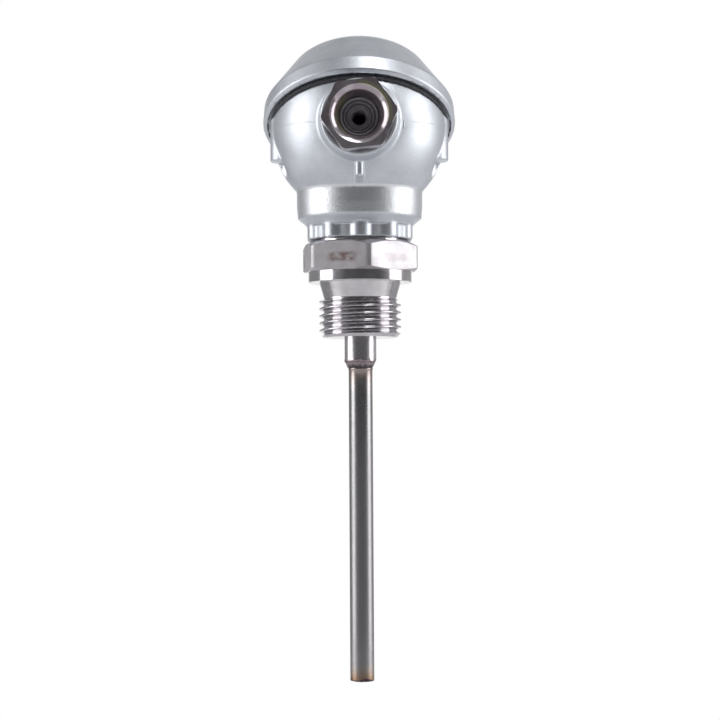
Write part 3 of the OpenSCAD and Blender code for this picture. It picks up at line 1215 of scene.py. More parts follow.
@dataclass
class CastHead:
    """The bowl with its neck, scalloped skirt, gland boss, screw lugs and rib, all one casting.

    Attributes:
        lid: the lid's frame.
        gland: the gland's frame.
        grid_z: lowest and highest height of the grid that the casting is meshed on.
        bowl_r: the bowl's outer radius.
        bowl_z: height of the bowl's centre.
        wall: thickness of the bowl's wall.
        neck_r: the neck's outer radius.
        floor_z: height of the bowl's floor.
        seat_z: height of the seat at the end of the fitting's socket.
        skirt_z: height of the skirt's lower end.
        chamfer_z: lower end of the chamfer from the skirt out to the neck.
        chamfer_top: upper end of that chamfer.
        scallops: number of lobes round the skirt.
        scallop_turn: direction of one lobe, in degrees.
        boss_r: radius of the gland's boss at its face.
        lug_x: distance of the lid's screws from the middle.
        lug_r: radius of a lug's rounded ends.
        lug_z: height of the lugs' flat lower ends.
        lug_ends: where a lug's front and back rounded ends are centred.
        lug_swell: how much further inwards a lug reaches on the casting's outside.
        relief_out: how far outside the screws the pockets below the lugs are centred.
        relief_slack: how much smaller than a lug's end a pocket is.
        rim_gap: how far the rim lies below the plane of the lid's edge.
        foot_r: radius at the chamfer's lower end.
        foot_drop: how far the neck's foot goes on below the chamfer.
        chamfer_r: radius at the chamfer's upper end.
        neck_draft_h: height over which the neck then widens to its full radius.
        neck_end: height where the neck's form and the bore for the wires end.
        lobe_corner: radius of a lobe's two corners.
        lobe_half: half the width of the flat between them.
        lobe_out: distance of that flat from the axis.
        lobe_root_r: the skirt's radius between the lobes.
        skirt_core_r: radius of the space left inside the skirt.
        boss_draft: how much wider the gland's boss is at its back.
        boss_back: where its back is, from its face.
        inner_boss: radius, middle and half length of the boss's part inside the bowl.
        gland_bores: radius and depth of each bore from the boss's face.
        rib_y: where the rib's rounded front is centred.
        rib_r: half of the rib's thickness.
        rib_back: where the rib's form ends, inside the bowl.
        rib_low: height of the rib's sloping lower end, at its front.
        rib_top: height where the rib ends, inside the boss.
        rib_lean_deg: slope of its lower end.
        socket_r: radius of the fitting's socket.
        wire_bore_r: radius of the bore for the wires.
        tapped_r: radius of the tapped holes for small screws.
        screw_hole: lower and upper end of the lid screws' holes, from the lid's edge.
        earth: X, Y and top of the stud for the earth screw.
        earth_depth: depth of its tapped hole.
        stud_r: its radius.
    """

    lid: LidFrame = field(default_factory=LidFrame)
    gland: GlandFrame = field(default_factory=GlandFrame)
    grid_z: tuple[float, float] = (10.0, 49.6)
    bowl_r: float = 22.2
    bowl_z: float = 38.6
    wall: float = 2.5
    neck_r: float = 15.8
    floor_z: float = 24.5
    seat_z: float = 20.5
    skirt_z: float = 10.65
    chamfer_z: float = 14.45
    chamfer_top: float = 16.15
    scallops: int = 10
    scallop_turn: float = -88.9
    boss_r: float = 9.5
    lug_x: float = 19.4
    lug_r: float = 2.9
    lug_z: float = 30.4
    lug_ends: tuple[float, float] = (-4.4, -0.6)
    lug_swell: float = 1.0
    relief_out: float = 1.35
    relief_slack: float = 0.05
    rim_gap: float = 0.7
    foot_r: float = 13.45
    foot_drop: float = 0.3
    chamfer_r: float = 15.55
    neck_draft_h: float = 3.0
    neck_end: float = 26.0
    lobe_corner: float = 2.35
    lobe_half: float = 0.22
    lobe_out: float = 13.65
    lobe_root_r: float = 12.55
    skirt_core_r: float = 12.0
    boss_draft: float = 0.9
    boss_back: float = -14.0
    inner_boss: tuple[float, float, float] = (9.6, -8.7, 4.0)
    gland_bores: tuple[tuple[float, float], ...] = ((8.0, 11.2), (8.15, 0.8), (5.5, 16.0))
    rib_y: float = -19.4
    rib_r: float = 1.0
    rib_back: float = -14.0
    rib_low: float = 25.0
    rib_top: float = 31.0
    rib_lean_deg: float = 20.0
    socket_r: float = 12.05
    wire_bore_r: float = 8.2
    tapped_r: float = 1.32
    screw_hole: tuple[float, float] = (-9.0, 1.0)
    earth: tuple[float, float, float] = (-13.7, 7.4, 30.6)
    earth_depth: float = 4.5
    stud_r: float = 2.6

    def outside(self, p: np.ndarray) -> np.ndarray:
        """Distance to the casting's outer form.

        Args:
            p: points, in millimetres in the row frame.

        Returns:
            The signed distance at each point, negative inside.
        """
        bowl = overlap(ball(p, (0, 0, self.bowl_z), self.bowl_r), self.chamfer_top - p[:, 2], 0.2)
        foot_z = self.chamfer_z - self.foot_drop
        profile = [
            (0, foot_z), (self.foot_r, foot_z), (self.foot_r, self.chamfer_z),
            (self.chamfer_r, self.chamfer_top), (self.neck_r, self.chamfer_top + self.neck_draft_h),
            (self.neck_r, self.neck_end), (0, self.neck_end),
        ]
        neck = turned(p, profile, 0.25)
        body = join(bowl, neck, 0.5)
        body = join(body, self._skirt(p), 0.35)
        body = remove(body, self._relief(p), 0.15)
        body = join(body, self._boss(p), 0.7)
        body = join(body, self._lugs(p, self.lug_swell), 0.25)
        return join(body, self._rib(p), 0.4)

    def _skirt(self, p: np.ndarray) -> np.ndarray:
        """Distance to the scalloped skirt.

        Args:
            p: points, in millimetres in the row frame.

        Returns:
            The signed distance at each point, negative inside.
        """
        turn = np.arctan2(p[:, 1], p[:, 0]) - math.radians(self.scallop_turn)
        pitch = TAU / self.scallops
        local = (turn + pitch / 2) % pitch - pitch / 2
        radius = np.hypot(p[:, 0], p[:, 1])
        u, v = radius * np.cos(local), radius * np.sin(local)
        beyond = np.maximum(u - (self.lobe_out - self.lobe_corner), 0)
        aside = np.maximum(np.abs(v) - self.lobe_half, 0)
        flat = join(np.hypot(beyond, aside) - self.lobe_corner, radius - self.lobe_root_r, 0.5)
        flat = overlap(flat, self.skirt_core_r - radius, 0.05)
        return overlap(flat, np.maximum(self.skirt_z - p[:, 2], p[:, 2] - self.chamfer_z - 1), 0.5)

    def _boss(self, p: np.ndarray) -> np.ndarray:
        """Distance to the gland's boss.

        Args:
            p: points, in millimetres in the row frame.

        Returns:
            The signed distance at each point, negative inside.
        """
        q = self.gland.to_gland(p)
        back = self.boss_back
        outline = [(0, back), (self.boss_r + self.boss_draft, back), (self.boss_r, 0), (0, 0)]
        return turned(q, outline, 0.75)

    def _lugs(self, p: np.ndarray, swell: float = 0.0) -> np.ndarray:
        """Distance to the two lugs that take the lid's screws, wider inwards by swell.

        Args:
            p: points, in millimetres in the row frame.
            swell: how much further inwards the lugs reach.

        Returns:
            The signed distance at each point, negative inside.
        """
        mirrored = np.column_stack([np.abs(p[:, 0]), p[:, 1], p[:, 2]])
        front, back = self.lug_ends
        reach = self.lug_r + swell
        bar = upright_slot(mirrored, self.lug_x - swell, front + swell, back - swell, reach)
        return overlap(bar, self.lug_z - p[:, 2], 0.3)

    def _relief(self, p: np.ndarray) -> np.ndarray:
        """Distance to the shallow upright pockets under the lugs.

        Args:
            p: points, in millimetres in the row frame.

        Returns:
            The signed distance at each point, negative inside.
        """
        mirrored = np.column_stack([np.abs(p[:, 0]), p[:, 1], p[:, 2]])
        middle, reach = self.lug_x + self.relief_out, self.lug_r - self.relief_slack
        bar = upright_slot(mirrored, middle, *self.lug_ends, reach)
        return np.maximum(bar, p[:, 2] - self.lug_z)

    def _rib(self, p: np.ndarray) -> np.ndarray:
        """Distance to the small rib under the gland.

        Args:
            p: points, in millimetres in the row frame.

        Returns:
            The signed distance at each point, negative inside.
        """
        y = np.minimum(p[:, 1] - self.rib_y, 0)
        bar = np.maximum(np.hypot(p[:, 0], y) - self.rib_r, p[:, 1] - self.rib_back)
        lean = math.radians(self.rib_lean_deg)
        slope = (self.rib_low - p[:, 2]) - (p[:, 1] - (self.rib_y - self.rib_r)) * math.tan(lean)
        return overlap(np.maximum(bar, p[:, 2] - self.rib_top), slope * math.cos(lean), 0.4)

    def inside(self, p: np.ndarray) -> np.ndarray:
        """Distance to the hollow, with what stands in it left out.

        Args:
            p: points, in millimetres in the row frame.

        Returns:
            The signed distance at each point, negative inside.
        """
        bowl = ball(p, (0, 0, self.bowl_z), self.bowl_r - self.wall)
        hollow = overlap(bowl, self.floor_z - p[:, 2], 1.2)
        q = self.gland.to_gland(p)
        radius, middle, half = self.inner_boss
        boss = np.maximum(np.hypot(q[:, 0], q[:, 1]) - radius, np.abs(q[:, 2] - middle) - half)
        hollow = remove(hollow, boss, 0.6)
        hollow = remove(hollow, self._lugs(p), 0.6)
        x, y, top = self.earth
        stud = np.hypot(p[:, 0] - x, p[:, 1] - y) - self.stud_r
        return remove(hollow, np.maximum(stud, p[:, 2] - top), 0.5)

    def distance(self, p: np.ndarray) -> np.ndarray:
        """Distance to the finished casting, with its machined faces and holes.

        Args:
            p: points, in millimetres in the row frame.

        Returns:
            The signed distance at each point, negative inside.
        """
        lid = self.lid.to_lid(p)
        body = overlap(self.outside(p), lid[:, 2] + self.rim_gap, 0.15)
        body = remove(body, self.inside(p), 0.3)
        axis = np.hypot(p[:, 0], p[:, 1])
        socket = np.maximum(axis - self.socket_r, p[:, 2] - self.seat_z)
        through = np.maximum(axis - self.wire_bore_r, p[:, 2] - self.neck_end)
        body = remove(body, np.minimum(socket, through), 0.15)
        q = self.gland.to_gland(p)
        shaft = np.hypot(q[:, 0], q[:, 1])
        bores = [np.maximum(shaft - radius, -depth - q[:, 2]) for radius, depth in self.gland_bores]
        body = remove(body, np.minimum.reduce(bores), 0.1)
        low, high = self.screw_hole
        screw = np.hypot(np.abs(lid[:, 0]) - self.lug_x, lid[:, 1]) - self.tapped_r
        ends = np.abs(lid[:, 2] - (low + high) / 2) - (high - low) / 2
        body = remove(body, np.maximum(screw, ends), 0.1)
        x, y, top = self.earth
        tapped = np.hypot(p[:, 0] - x, p[:, 1] - y) - self.tapped_r
        return remove(body, np.maximum(tapped, top - self.earth_depth - p[:, 2]), 0.1)

    def build(self) -> list[bpy.types.Object]:
        """The casting as one piece.

        Returns:
            The casting, riding its body and replacing its node.
        """
        reach = self.bowl_r + GRID_MARGIN
        front, (bottom, top) = self.gland.face_y - GRID_MARGIN, self.grid_z
        low, high = (-reach, front, bottom), (reach, reach, top)
        points, quads = casting("head_casting", self.distance, low, high)
        piece = new_piece("head_casting", points, quads.tolist(), CAST_CREASE)
        dress(piece, SilverCoat("body"))
        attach(piece, "head")
        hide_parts("head_body")
        return [piece]


@dataclass
class CastLid:
    """The inclined lid, with its two sunk screw seats, and the flat gasket in its edge.

    Attributes:
        place: the lid's frame.
        edge_r: the lid's greatest radius.
        band: height of the top of the band round its edge.
        lift: how far the band's lower edge lies above the frame's origin.
        height: height of the lid.
        wall: thickness of its wall.
        crown_r: radius of the bend from the flank to the flat top.
        flank_top: radius and height where the flank meets that bend.
        hollow_r: radius of the hollow just above the gasket.
        seat_r: radius of the gasket's recess.
        seat_h: height of the recess's end.
        screw_x: distance of the screws from the middle.
        pocket_r: radius of the pockets for the screws' heads.
        pocket_h: height of the pockets' bottoms.
        taper: how much narrower the band is at its top.
        chamfer: width and height of the chamfer at its lower edge.
        screw_boss_r: radius of the material that is kept round a screw.
        screw_hole_r: radius of the screws' holes.
        gasket_r: inner and outer radius of the gasket.
        gasket_z: lower and upper face of the gasket.
    """

    place: LidFrame = field(default_factory=LidFrame)
    edge_r: float = 24.2
    band: float = 4.9
    lift: float = 0.35
    height: float = 18.6
    wall: float = 2.0
    crown_r: float = 8.0
    flank_top: tuple[float, float] = (17.59, 15.4)
    hollow_r: float = 18.0
    seat_r: float = 23.1
    seat_h: float = 1.0
    screw_x: float = 19.4
    pocket_r: float = 2.6
    pocket_h: float = 4.6
    taper: float = 0.2
    chamfer: tuple[float, float] = (0.85, 0.65)
    screw_boss_r: float = 3.9
    screw_hole_r: float = 1.45
    gasket_r: tuple[float, float] = (18.6, 22.45)
    gasket_z: tuple[float, float] = (-0.7, 1.0)

    def _section(self, wall: float, foot: Outline) -> list[tuple[float, float]]:
        """The outline under the crown, set in by a wall's thickness, from a foot to the axis.

        Args:
            wall: how far inside the outer surface the outline runs.
            foot: its first points, up to the flank.

        Returns:
            The closed outline, as (radius, height) points.
        """
        foot_at = np.array([self.edge_r - self.taper, self.band])
        along = np.array(self.flank_top) - foot_at
        along = along / np.linalg.norm(along)
        out = np.array([along[1], -along[0]])
        crown_z = self.height - self.crown_r
        inset_x = math.sqrt(self.crown_r**2 - (self.flank_top[1] - crown_z) ** 2)
        centre = np.array([self.flank_top[0] - inset_x, crown_z])
        bend = math.acos((out @ (foot_at - centre) - wall) / (self.crown_r - wall))
        first = math.degrees(math.atan2(out[1], out[0]) + bend)
        crown = arc(tuple(centre), self.crown_r - wall, first, 90, 12)
        return [*foot, *crown, (0, self.height - wall)]

    def distance(self, p: np.ndarray) -> np.ndarray:
        """Distance to the lid, in the lid's frame.

        Args:
            p: points, in millimetres in the lid's frame.

        Returns:
            The signed distance at each point, negative inside.
        """
        band_r = self.edge_r - self.taper
        in_by, up_by = self.chamfer
        foot = [(0, self.lift), (self.edge_r - in_by, self.lift), (self.edge_r, self.lift + up_by)]
        outer = turned(p, self._section(0, [*foot, (band_r, self.band)]), 0.12)
        run, rise = band_r - self.flank_top[0], self.flank_top[1] - self.band
        inner_r = band_r - self.wall * math.hypot(run, rise) / rise
        hollow_top = self.band + (inner_r - self.hollow_r) * (rise / run)
        foot = [(0, -3), (self.hollow_r, -3), (self.hollow_r, hollow_top)]
        hollow = turned(p, self._section(self.wall, foot))
        side = np.hypot(np.abs(p[:, 0]) - self.screw_x, p[:, 1])
        hollow = remove(hollow, side - self.screw_boss_r, 0.8)
        body = remove(outer, hollow, 0.5)
        seat = np.maximum(np.hypot(p[:, 0], p[:, 1]) - self.seat_r, p[:, 2] - self.seat_h)
        body = remove(body, seat, 0.12)
        pocket = np.maximum(side - self.pocket_r, self.pocket_h - p[:, 2])
        body = remove(body, pocket, 0.7)
        return remove(body, side - self.screw_hole_r, 0.15)

    def build(self) -> list[bpy.types.Object]:
        """The lid and its gasket.

        Returns:
            The two pieces.
        """
        reach, top = self.edge_r + GRID_MARGIN, self.height + GRID_MARGIN
        low, high = (-reach, -reach, -GRID_MARGIN), (reach, reach, top)
        points, quads = casting("lid_casting", self.distance, low, high)
        lid = new_piece("lid_casting", self.place.to_row(points), quads.tolist(), CAST_CREASE)
        dress(lid, SilverCoat("lid"))
        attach(lid, "lid")
        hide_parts("lid")
        return [lid, self._gasket()]

    def _gasket(self) -> bpy.types.Object:
        """A flat ring with two thin raised beads, seen as lines in the gap.

        Returns:
            The piece, riding its body and replacing its node.
        """
        inner, out = self.gasket_r
        low, high = self.gasket_z
        face = [
            (out - 0.35, low), (out - 0.35, low + 0.16), (out, low + 0.22), (out, low + 0.40),
            (out - 0.10, low + 0.46), (out, low + 0.52), (out, low + 0.80), (out - 0.4, low + 0.9),
            (out - 0.4, high),
        ]
        points, faces = revolve([(inner, low), *face, (inner, high)], 160)
        piece = new_piece("lid_gasket_ring", self.place.to_row(points), faces)
        dress(piece, MouldedRubber("gasket"))
        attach(piece, "lid")
        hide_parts("lid_gasket")
        return piece


# ---------------------------------------------------------------- turned pieces


@dataclass
class CableGland:
    """The hexagon nut with its funnel, and the ringed rubber seal inside it.

    Attributes:
        place: the gland's frame.
        across_flats: the hexagon's size.
        corner_deg: direction of one of its corners.
        back: where the hexagon starts.
        face: where it ends.
        end: where the nut's thread ends, inside the boss.
        corner_r: the radius that the corners are turned down to.
        face_r: radius of the hexagon's face.
        shoulder_r: radius of the hexagon's back.
        neck_r: radius of the groove between thread and hexagon.
        throat_r: radius of the bore through the nut.
        mouth: wider and narrower radius of the funnel's rounded mouth.
        thread: the nut's thread.
    """

    place: GlandFrame = field(default_factory=GlandFrame)
    across_flats: float = 16.4
    corner_deg: float = 6.3
    back: float = 1.3
    face: float = 6.3
    end: float = -5.2
    corner_r: float = 9.35
    face_r: float = 9.2
    shoulder_r: float = 8.9
    neck_r: float = 7.1
    throat_r: float = 4.9
    mouth: tuple[float, float] = (7.1, 5.9)
    thread: Thread = Thread(7.95, 1.5, 0.92, 30, 0.12, 0.4)

    def build(self) -> list[bpy.types.Object]:
        """The nut and the seal."""
        return [self._nut(), self._seal()]

    def _nut(self) -> bpy.types.Object:
        """The nut: thread, hexagon, rounded crown and funnel.

        Returns:
            The piece, riding its body and replacing its node.
        """
        reach, crest, back, face = self.corner_r, self.thread.crest, self.back, self.face
        wide, narrow = self.mouth
        brim = wide + 0.06
        hexagon = Hexagon(self.across_flats, self.corner_deg, reach)
        outline = [
            (self.throat_r, self.end), (7.2, self.end),
            *filled([(crest, self.end + 0.7), (crest, back - 1.2)], 0.09),
            (self.neck_r, back - 0.7), (self.neck_r, back), (self.shoulder_r, back),
            *filled([(self.shoulder_r, back), (reach, back + 0.4)], 0.12)[1:],
            (reach, face - 0.12),
            *filled([(reach, face - 0.12), (self.face_r, face)], 0.06)[1:],
            *filled([(self.face_r, face), (brim, face)], 0.5)[1:-1],
            (brim, face),
            *arc((wide + 2.85, face - 4.88), 5.65, 120, 136, 10),
            (narrow - 0.12, face - 1.12), (narrow - 0.3, face - 1.6),
            (5.3, 3.2), (5.0, 1.8), (self.throat_r, 1.2),
        ]

        def cut(angles: np.ndarray, z: np.ndarray) -> np.ndarray:
            """Flats above the shoulder and the thread below it.

            Args:
                angles: directions in radians.
                z: heights in millimetres.

            Returns:
                The largest radius allowed at each.
            """
            flats = hexagon.radius(angles) + 0 * z
            ridges = self.thread.radius(angles, z)
            return np.where(z >= self.back, flats, np.where(z > self.end + PLAIN_END, ridges, UNCUT))

        points, faces = revolve(outline, 192, self.corner_deg, cut)
        piece = new_piece("gland_nut_plated", self.place.to_row(points), faces, 28)
        dress(piece, NickelPlate())
        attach(piece, "gland_nut")
        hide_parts("gland_nut")
        return piece

    def _seal(self) -> bpy.types.Object:
        """The seal: an outer lip, stepped rings and the cable's hole.

        Returns:
            The piece, riding its body and replacing its node.
        """
        outline = [
            (1.7, -11.2), (7.9, -11.2), (7.9, -5.75), (4.72, -5.75), (4.72, 0.3),
            *arc((4.47, 0.3), 0.25, 0, 150, 5),
            (4.10, 0.0), (4.06, -1.1), (3.88, -1.1),
            *arc((3.62, -0.5), 0.22, 15, 160, 5),
            (3.40, -0.9), (3.36, -1.9), (3.16, -2.0),
            *arc((2.90, -1.75), 0.22, 15, 160, 5),
            (2.62, -2.1), (2.0, -2.2), (1.7, -2.6),
        ]
        points, faces = revolve(outline, 144)
        piece = new_piece("gland_seal_rubber", self.place.to_row(points), faces, 40)
        # Painted light: the seal's rubber and its dust get far paler tones than the gasket's, standing
        # in for light that does not reach into the nut.
        dress(piece, MouldedRubber("seal", (0.34, 0.32, 0.36), (0.50, 0.48, 0.52)))
        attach(piece, "head")
        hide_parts("gland_seal")
        return piece


@dataclass
class ProcessFitting:
    """The stainless fitting: process thread, collar, hexagon and the stem into the head.

    Attributes:
        across_flats: the hexagon's size.
        corner_deg: direction of one of its corners.
        corner_r: the radius that the corners are turned down to.
        collar_r: radius of the collar.
        collar_h: height of the collar.
        hex_top: height of the hexagon's upper face.
        thread_end: height of the lower end of the process thread.
        relief_z: height of the lower end of the cone under the collar.
        relief_r: radius of the groove there.
        ridge_r: radius of the blank that the thread is cut in.
        bore_r: radius of the bore for the support tube.
        stem_r: radius of the stem in the head.
        stem_bore_r: radius of the bore for the wires.
        stem_top: height of the stem's upper end.
        thread: the process thread.
    """

    across_flats: float = 27.0
    corner_deg: float = -21.2
    corner_r: float = 15.3
    collar_r: float = 13.0
    collar_h: float = 2.6
    hex_top: float = 10.0
    thread_end: float = -13.8
    relief_z: float = -3.9
    relief_r: float = 9.15
    ridge_r: float = 10.6
    bore_r: float = 4.02
    stem_r: float = 12.0
    stem_bore_r: float = 8.0
    stem_top: float = 19.5
    thread: Thread = Thread(10.36, 1.814, 1.16, 27.5, 0.249, -5.69)

    def build(self) -> list[bpy.types.Object]:
        """The fitting as one piece.

        Returns:
            The fitting, riding its body and replacing its node.
        """
        reach = self.corner_r
        hexagon = Hexagon(self.across_flats, self.corner_deg, self.corner_r)
        low, collar, top = self.thread_end, self.collar_h, self.hex_top
        ridge, relief = self.ridge_r, self.relief_z
        stem, inner, end = self.stem_r, self.stem_bore_r, self.stem_top
        chamfered = filled([(9.25, low), (ridge, low + 1.4)], 0.07)
        thread = [(ridge, low + 1.4), (ridge, relief - 0.9), (self.relief_r, relief - 0.2)]
        outline = [
            (self.bore_r, low + 0.25), (self.bore_r + 0.25, low), *chamfered, *filled(thread, 0.07)[1:],
            (self.relief_r, relief), *filled([(9.17, relief + 0.07), (10.23, -0.07)], 0.6),
            (10.25, 0.0), (self.collar_r - 0.15, 0.0), (self.collar_r, 0.15), (self.collar_r, 0.3),
            (self.collar_r, collar - 0.15), (self.collar_r, collar), (13.3, collar),
            *filled([(13.3, collar), (reach, collar + 0.65)], 0.09)[1:],
            (reach, top - 1.25),
            *filled([(reach, top - 1.25), (12.95, top)], 0.09)[1:],
            (11.4, top), (11.4, top + 1.1), (stem, top + 1.7),
            (stem, end - 0.6), (11.4, end), (inner, end), (inner, 9.0), (self.bore_r, 9.0),
        ]

        def cut(angles: np.ndarray, z: np.ndarray) -> np.ndarray:
            """Ridges below the collar and flats above it.

            Args:
                angles: directions in radians.
                z: heights in millimetres.

            Returns:
                The largest radius allowed at each.
            """
            flats = hexagon.radius(angles) + 0 * z
            ridges = self.thread.radius(angles, z)
            on_hex = (z > self.collar_h + SLIVER) & (z < self.hex_top - SLIVER)
            return np.where(on_hex, flats, np.where(z < self.relief_z - PLAIN_END, ridges, UNCUT))

        points, faces = revolve(outline, 252, self.corner_deg, cut)
        piece = new_piece("process_fitting_turned", points, faces, 20)
        dress(piece, TurnedSteel())
        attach(piece, "head")
        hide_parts("process_fitting")
        return [piece]


@dataclass
class Probe:
    """The support tube with its weld, the sheath and the welded tip.

    Attributes:
        tube_r: outer radius of the support tube.
        sheath_r: outer radius of the sheath.
        bore_r: inner radius of the sheath.
        tube_end: height where the support tube draws in.
        joint_z: height where it meets the sheath.
        bead_r: the weld's surface lies outside this radius.
        top_z: height of the support tube's upper end.
        tip_z: height of the tip.
    """

    tube_r: float = 4.0
    sheath_r: float = 3.0
    bore_r: float = 2.5
    tube_end: float = -19.5
    joint_z: float = -21.4
    bead_r: float = 3.05
    top_z: float = 11.0
    tip_z: float = -100.0

    def build(self) -> list[bpy.types.Object]:
        """The three visible pieces of the stem."""
        return [self._tube(), self._sheath(), self._tip()]

    def _tube(self) -> bpy.types.Object:
        """The support tube, whose lower end is melted on to the sheath in an uneven bead.

        Returns:
            The piece, riding its body and replacing its node.
        """
        low, joint = self.tube_end, self.joint_z
        bore, thin, wide = self.bore_r, self.sheath_r, self.tube_r
        cone = filled([(3.14, joint + 0.15), (3.88, low - 0.3)], 0.16)
        bead = [(bore, joint), (thin, joint), *cone, (3.97, low - 0.12), (wide, low)]
        above = [(wide, z) for z in (low + 0.15, low + 0.6, self.top_z)]
        outline = [*bead, *above, (thin, self.top_z), (thin, low), (bore, low - 0.5)]
        points, faces = revolve(outline, 128)
        angle = np.arctan2(points[:, 1], points[:, 0])
        zone = np.clip((low + 0.25 - points[:, 2]) / 0.5, 0, 1)
        zone = zone * (np.hypot(points[:, 0], points[:, 1]) > self.bead_r)
        ripple = 0.06 * np.sin(11 * angle + 3 * points[:, 2]) + 0.05 * np.sin(5 * angle - 1.7)
        ripple = ripple + 0.04 * np.sin(23 * angle + 5 * points[:, 2])
        drift = 0.14 * np.sin(3 * angle + 0.8) + 0.10 * np.sin(7 * angle + 2.1)
        grow = 1 + (zone * ripple / self.tube_r)
        points[:, 0] *= grow
        points[:, 1] *= grow
        points[:, 2] += zone * drift * 0.6
        piece = new_piece("support_tube_welded", points, faces, 50)
        dress(piece, TubeSteel())
        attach(piece, "head")
        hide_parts("support_tube")
        return piece

    def _sheath(self) -> bpy.types.Object:
        """The drawn tube.

        Returns:
            The piece, riding its body and replacing its node.
        """
        low, high = self.tip_z + 1.2, self.joint_z
        bore, wide = self.bore_r, self.sheath_r
        outline = [
            (bore, low), *filled([(wide, low), (wide, high - 0.62)], 4.0),
            (3.07, high - 0.45), (3.13, high - 0.28), (3.10, high - 0.12), (wide, high), (bore, high),
        ]
        points, faces = revolve(outline, 96)
        piece = new_piece("sheath_tube_drawn", points, faces)
        dress(piece, DrawnSteel())
        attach(piece, "head")
        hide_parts("sheath_tube")
        return piece

    def _tip(self) -> bpy.types.Object:
        """The weld that closes the sheath, slightly domed and uneven.

        Returns:
            The piece, riding its body and replacing its node.
        """
        low = self.tip_z
        bore, wide = self.bore_r, self.sheath_r
        outline = [
            (0, low), (1.0, low + 0.03), (1.9, low + 0.12), (bore, low + 0.24),
            *arc((2.68, low + 0.6), 0.32, -60, 0, 5), (wide, low + 1.2), (bore, low + 1.2),
            (bore, low + 2.2), (0, low + 2.2),
        ]
        points, faces = revolve(outline, 96)
        angle = np.arctan2(points[:, 1], points[:, 0])
        rim = np.clip((low + 0.8 - points[:, 2]) / 0.5, 0, 1) * np.hypot(points[:, 0], points[:, 1]) / 3
        points[:, 2] += rim * (0.05 * np.sin(4 * angle) + 0.03 * np.sin(9 * angle + 1) + 0.05)
        points, faces = welded(points, faces)
        piece = new_piece("tip_weld", points, faces, 60)
        dress(piece, DrawnSteel())
        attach(piece, "head")
        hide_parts("tip_plug")
        return piece


# ---------------------------------------------------------------- small inner pieces


@dataclass
class InnerPieces:
    """The pieces inside the head and the sheath, which keep their own solids."""

    bevel_mm: float = 0.12
    bevel_steps: int = 2
    bevel_from_deg: float = 40.0
    crease_deg: float = 30.0

    def build(self) -> list[bpy.types.Object]:
        """Gives each kept piece its finish, and softens the edges of the blocks.

        Returns:
            The dressed nodes.
        """
        zinc = PlainMetal("zinc")
        brass = PlainMetal("brass", (0.70, 0.52, 0.24), (0.48, 0.33, 0.15), 0.26)
        steatite = Earthy("steatite")
        alumina = Earthy("alumina", (0.85, 0.84, 0.80), (0.70, 0.68, 0.63), 0.5, 0.2)
        finishes: dict[str, Finish] = {
            "lid_screw_left": zinc,
            "lid_screw_right": zinc,
            "gland_washer": PlainMetal("dull_zinc", (0.84, 0.85, 0.88), (0.68, 0.69, 0.72), 0.5),
            "earth_screw": zinc,
            "earth_washer": zinc,
            "block_screw_front": zinc,
            "block_screw_rear": zinc,
            "terminal_base": steatite,
            "sensor_element": alumina,
            "insulator_rod": alumina,
            "neck_seal": Earthy("fibre", (0.42, 0.09, 0.06), (0.26, 0.05, 0.04), 0.7, 0.25),
            "potting_plug": Earthy("resin", (0.22, 0.12, 0.06), (0.12, 0.06, 0.03), 0.35, 0.5),
        }
        for i in range(1, 5):
            finishes[f"terminal_{i}"] = brass
            finishes[f"terminal_screw_{i}"] = zinc
            red = i <= 2
            finishes[f"lead_wire_{i}"] = Earthy(
                "red_lead" if red else "white_lead",
                (0.55, 0.03, 0.025) if red else (0.80, 0.79, 0.75),
                (0.36, 0.02, 0.02) if red else (0.62, 0.60, 0.55),
                0.38,
                0.4,
            )
        made = []
        for name, finish in finishes.items():
            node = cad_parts[name]
            dress(node, finish)
            node.data.shade_smooth()
            node.data.set_sharp_from_angle(angle=math.radians(self.crease_deg))
            if name.startswith("terminal"):
                self._soften(node)
            made.append(node)
        return made

    def _soften(self, node: bpy.types.Object) -> None:
        """Bevels a node's crisp edges.

        Args:
            node: the node.
        """
        bevel = node.modifiers.new("edges", "BEVEL")
        bevel.width = self.bevel_mm * MM
        bevel.segments = self.bevel_steps
        bevel.limit_method = "ANGLE"
        bevel.angle_limit = math.radians(self.bevel_from_deg)


# ---------------------------------------------------------------- studio


@dataclass(frozen=True)
class SoftBox:
    """A rectangular lamp that faces the origin.

    Attributes:
        name: the lamp's name.
        azimuth: its direction in degrees, from the camera's side towards +X.
        elevation: degrees above the horizon.
        glow: how bright its face is; 1 is white.
        wide: its width in metres.
        high: its height in metres.
        away: its distance from the origin, in metres.
    """

    name: str
    azimuth: float
    elevation: float
    glow: float
    wide: float
    high: float
    away: float = 0.80

    def build(self) -> None:
        """Hangs the lamp, turned to face the origin."""
        a, e = math.radians(self.azimuth), math.radians(self.elevation)
        out = Vector((math.sin(a) * math.cos(e), -math.cos(a) * math.cos(e), math.sin(e)))
        lamp = bpy.data.lights.new(self.name, "AREA")
        lamp.shape = "RECTANGLE"
        lamp.size, lamp.size_y = self.wide, self.high
        lamp.energy = self.glow * math.pi * self.wide * self.high
        box = bpy.data.objects.new(self.name, lamp)
        box.location = out * self.away
        box.rotation_mode = "QUATERNION"
        box.rotation_quaternion = out.to_track_quat("Z", "Y")
        box.visible_camera = False
        bpy.context.scene.collection.objects.link(box)


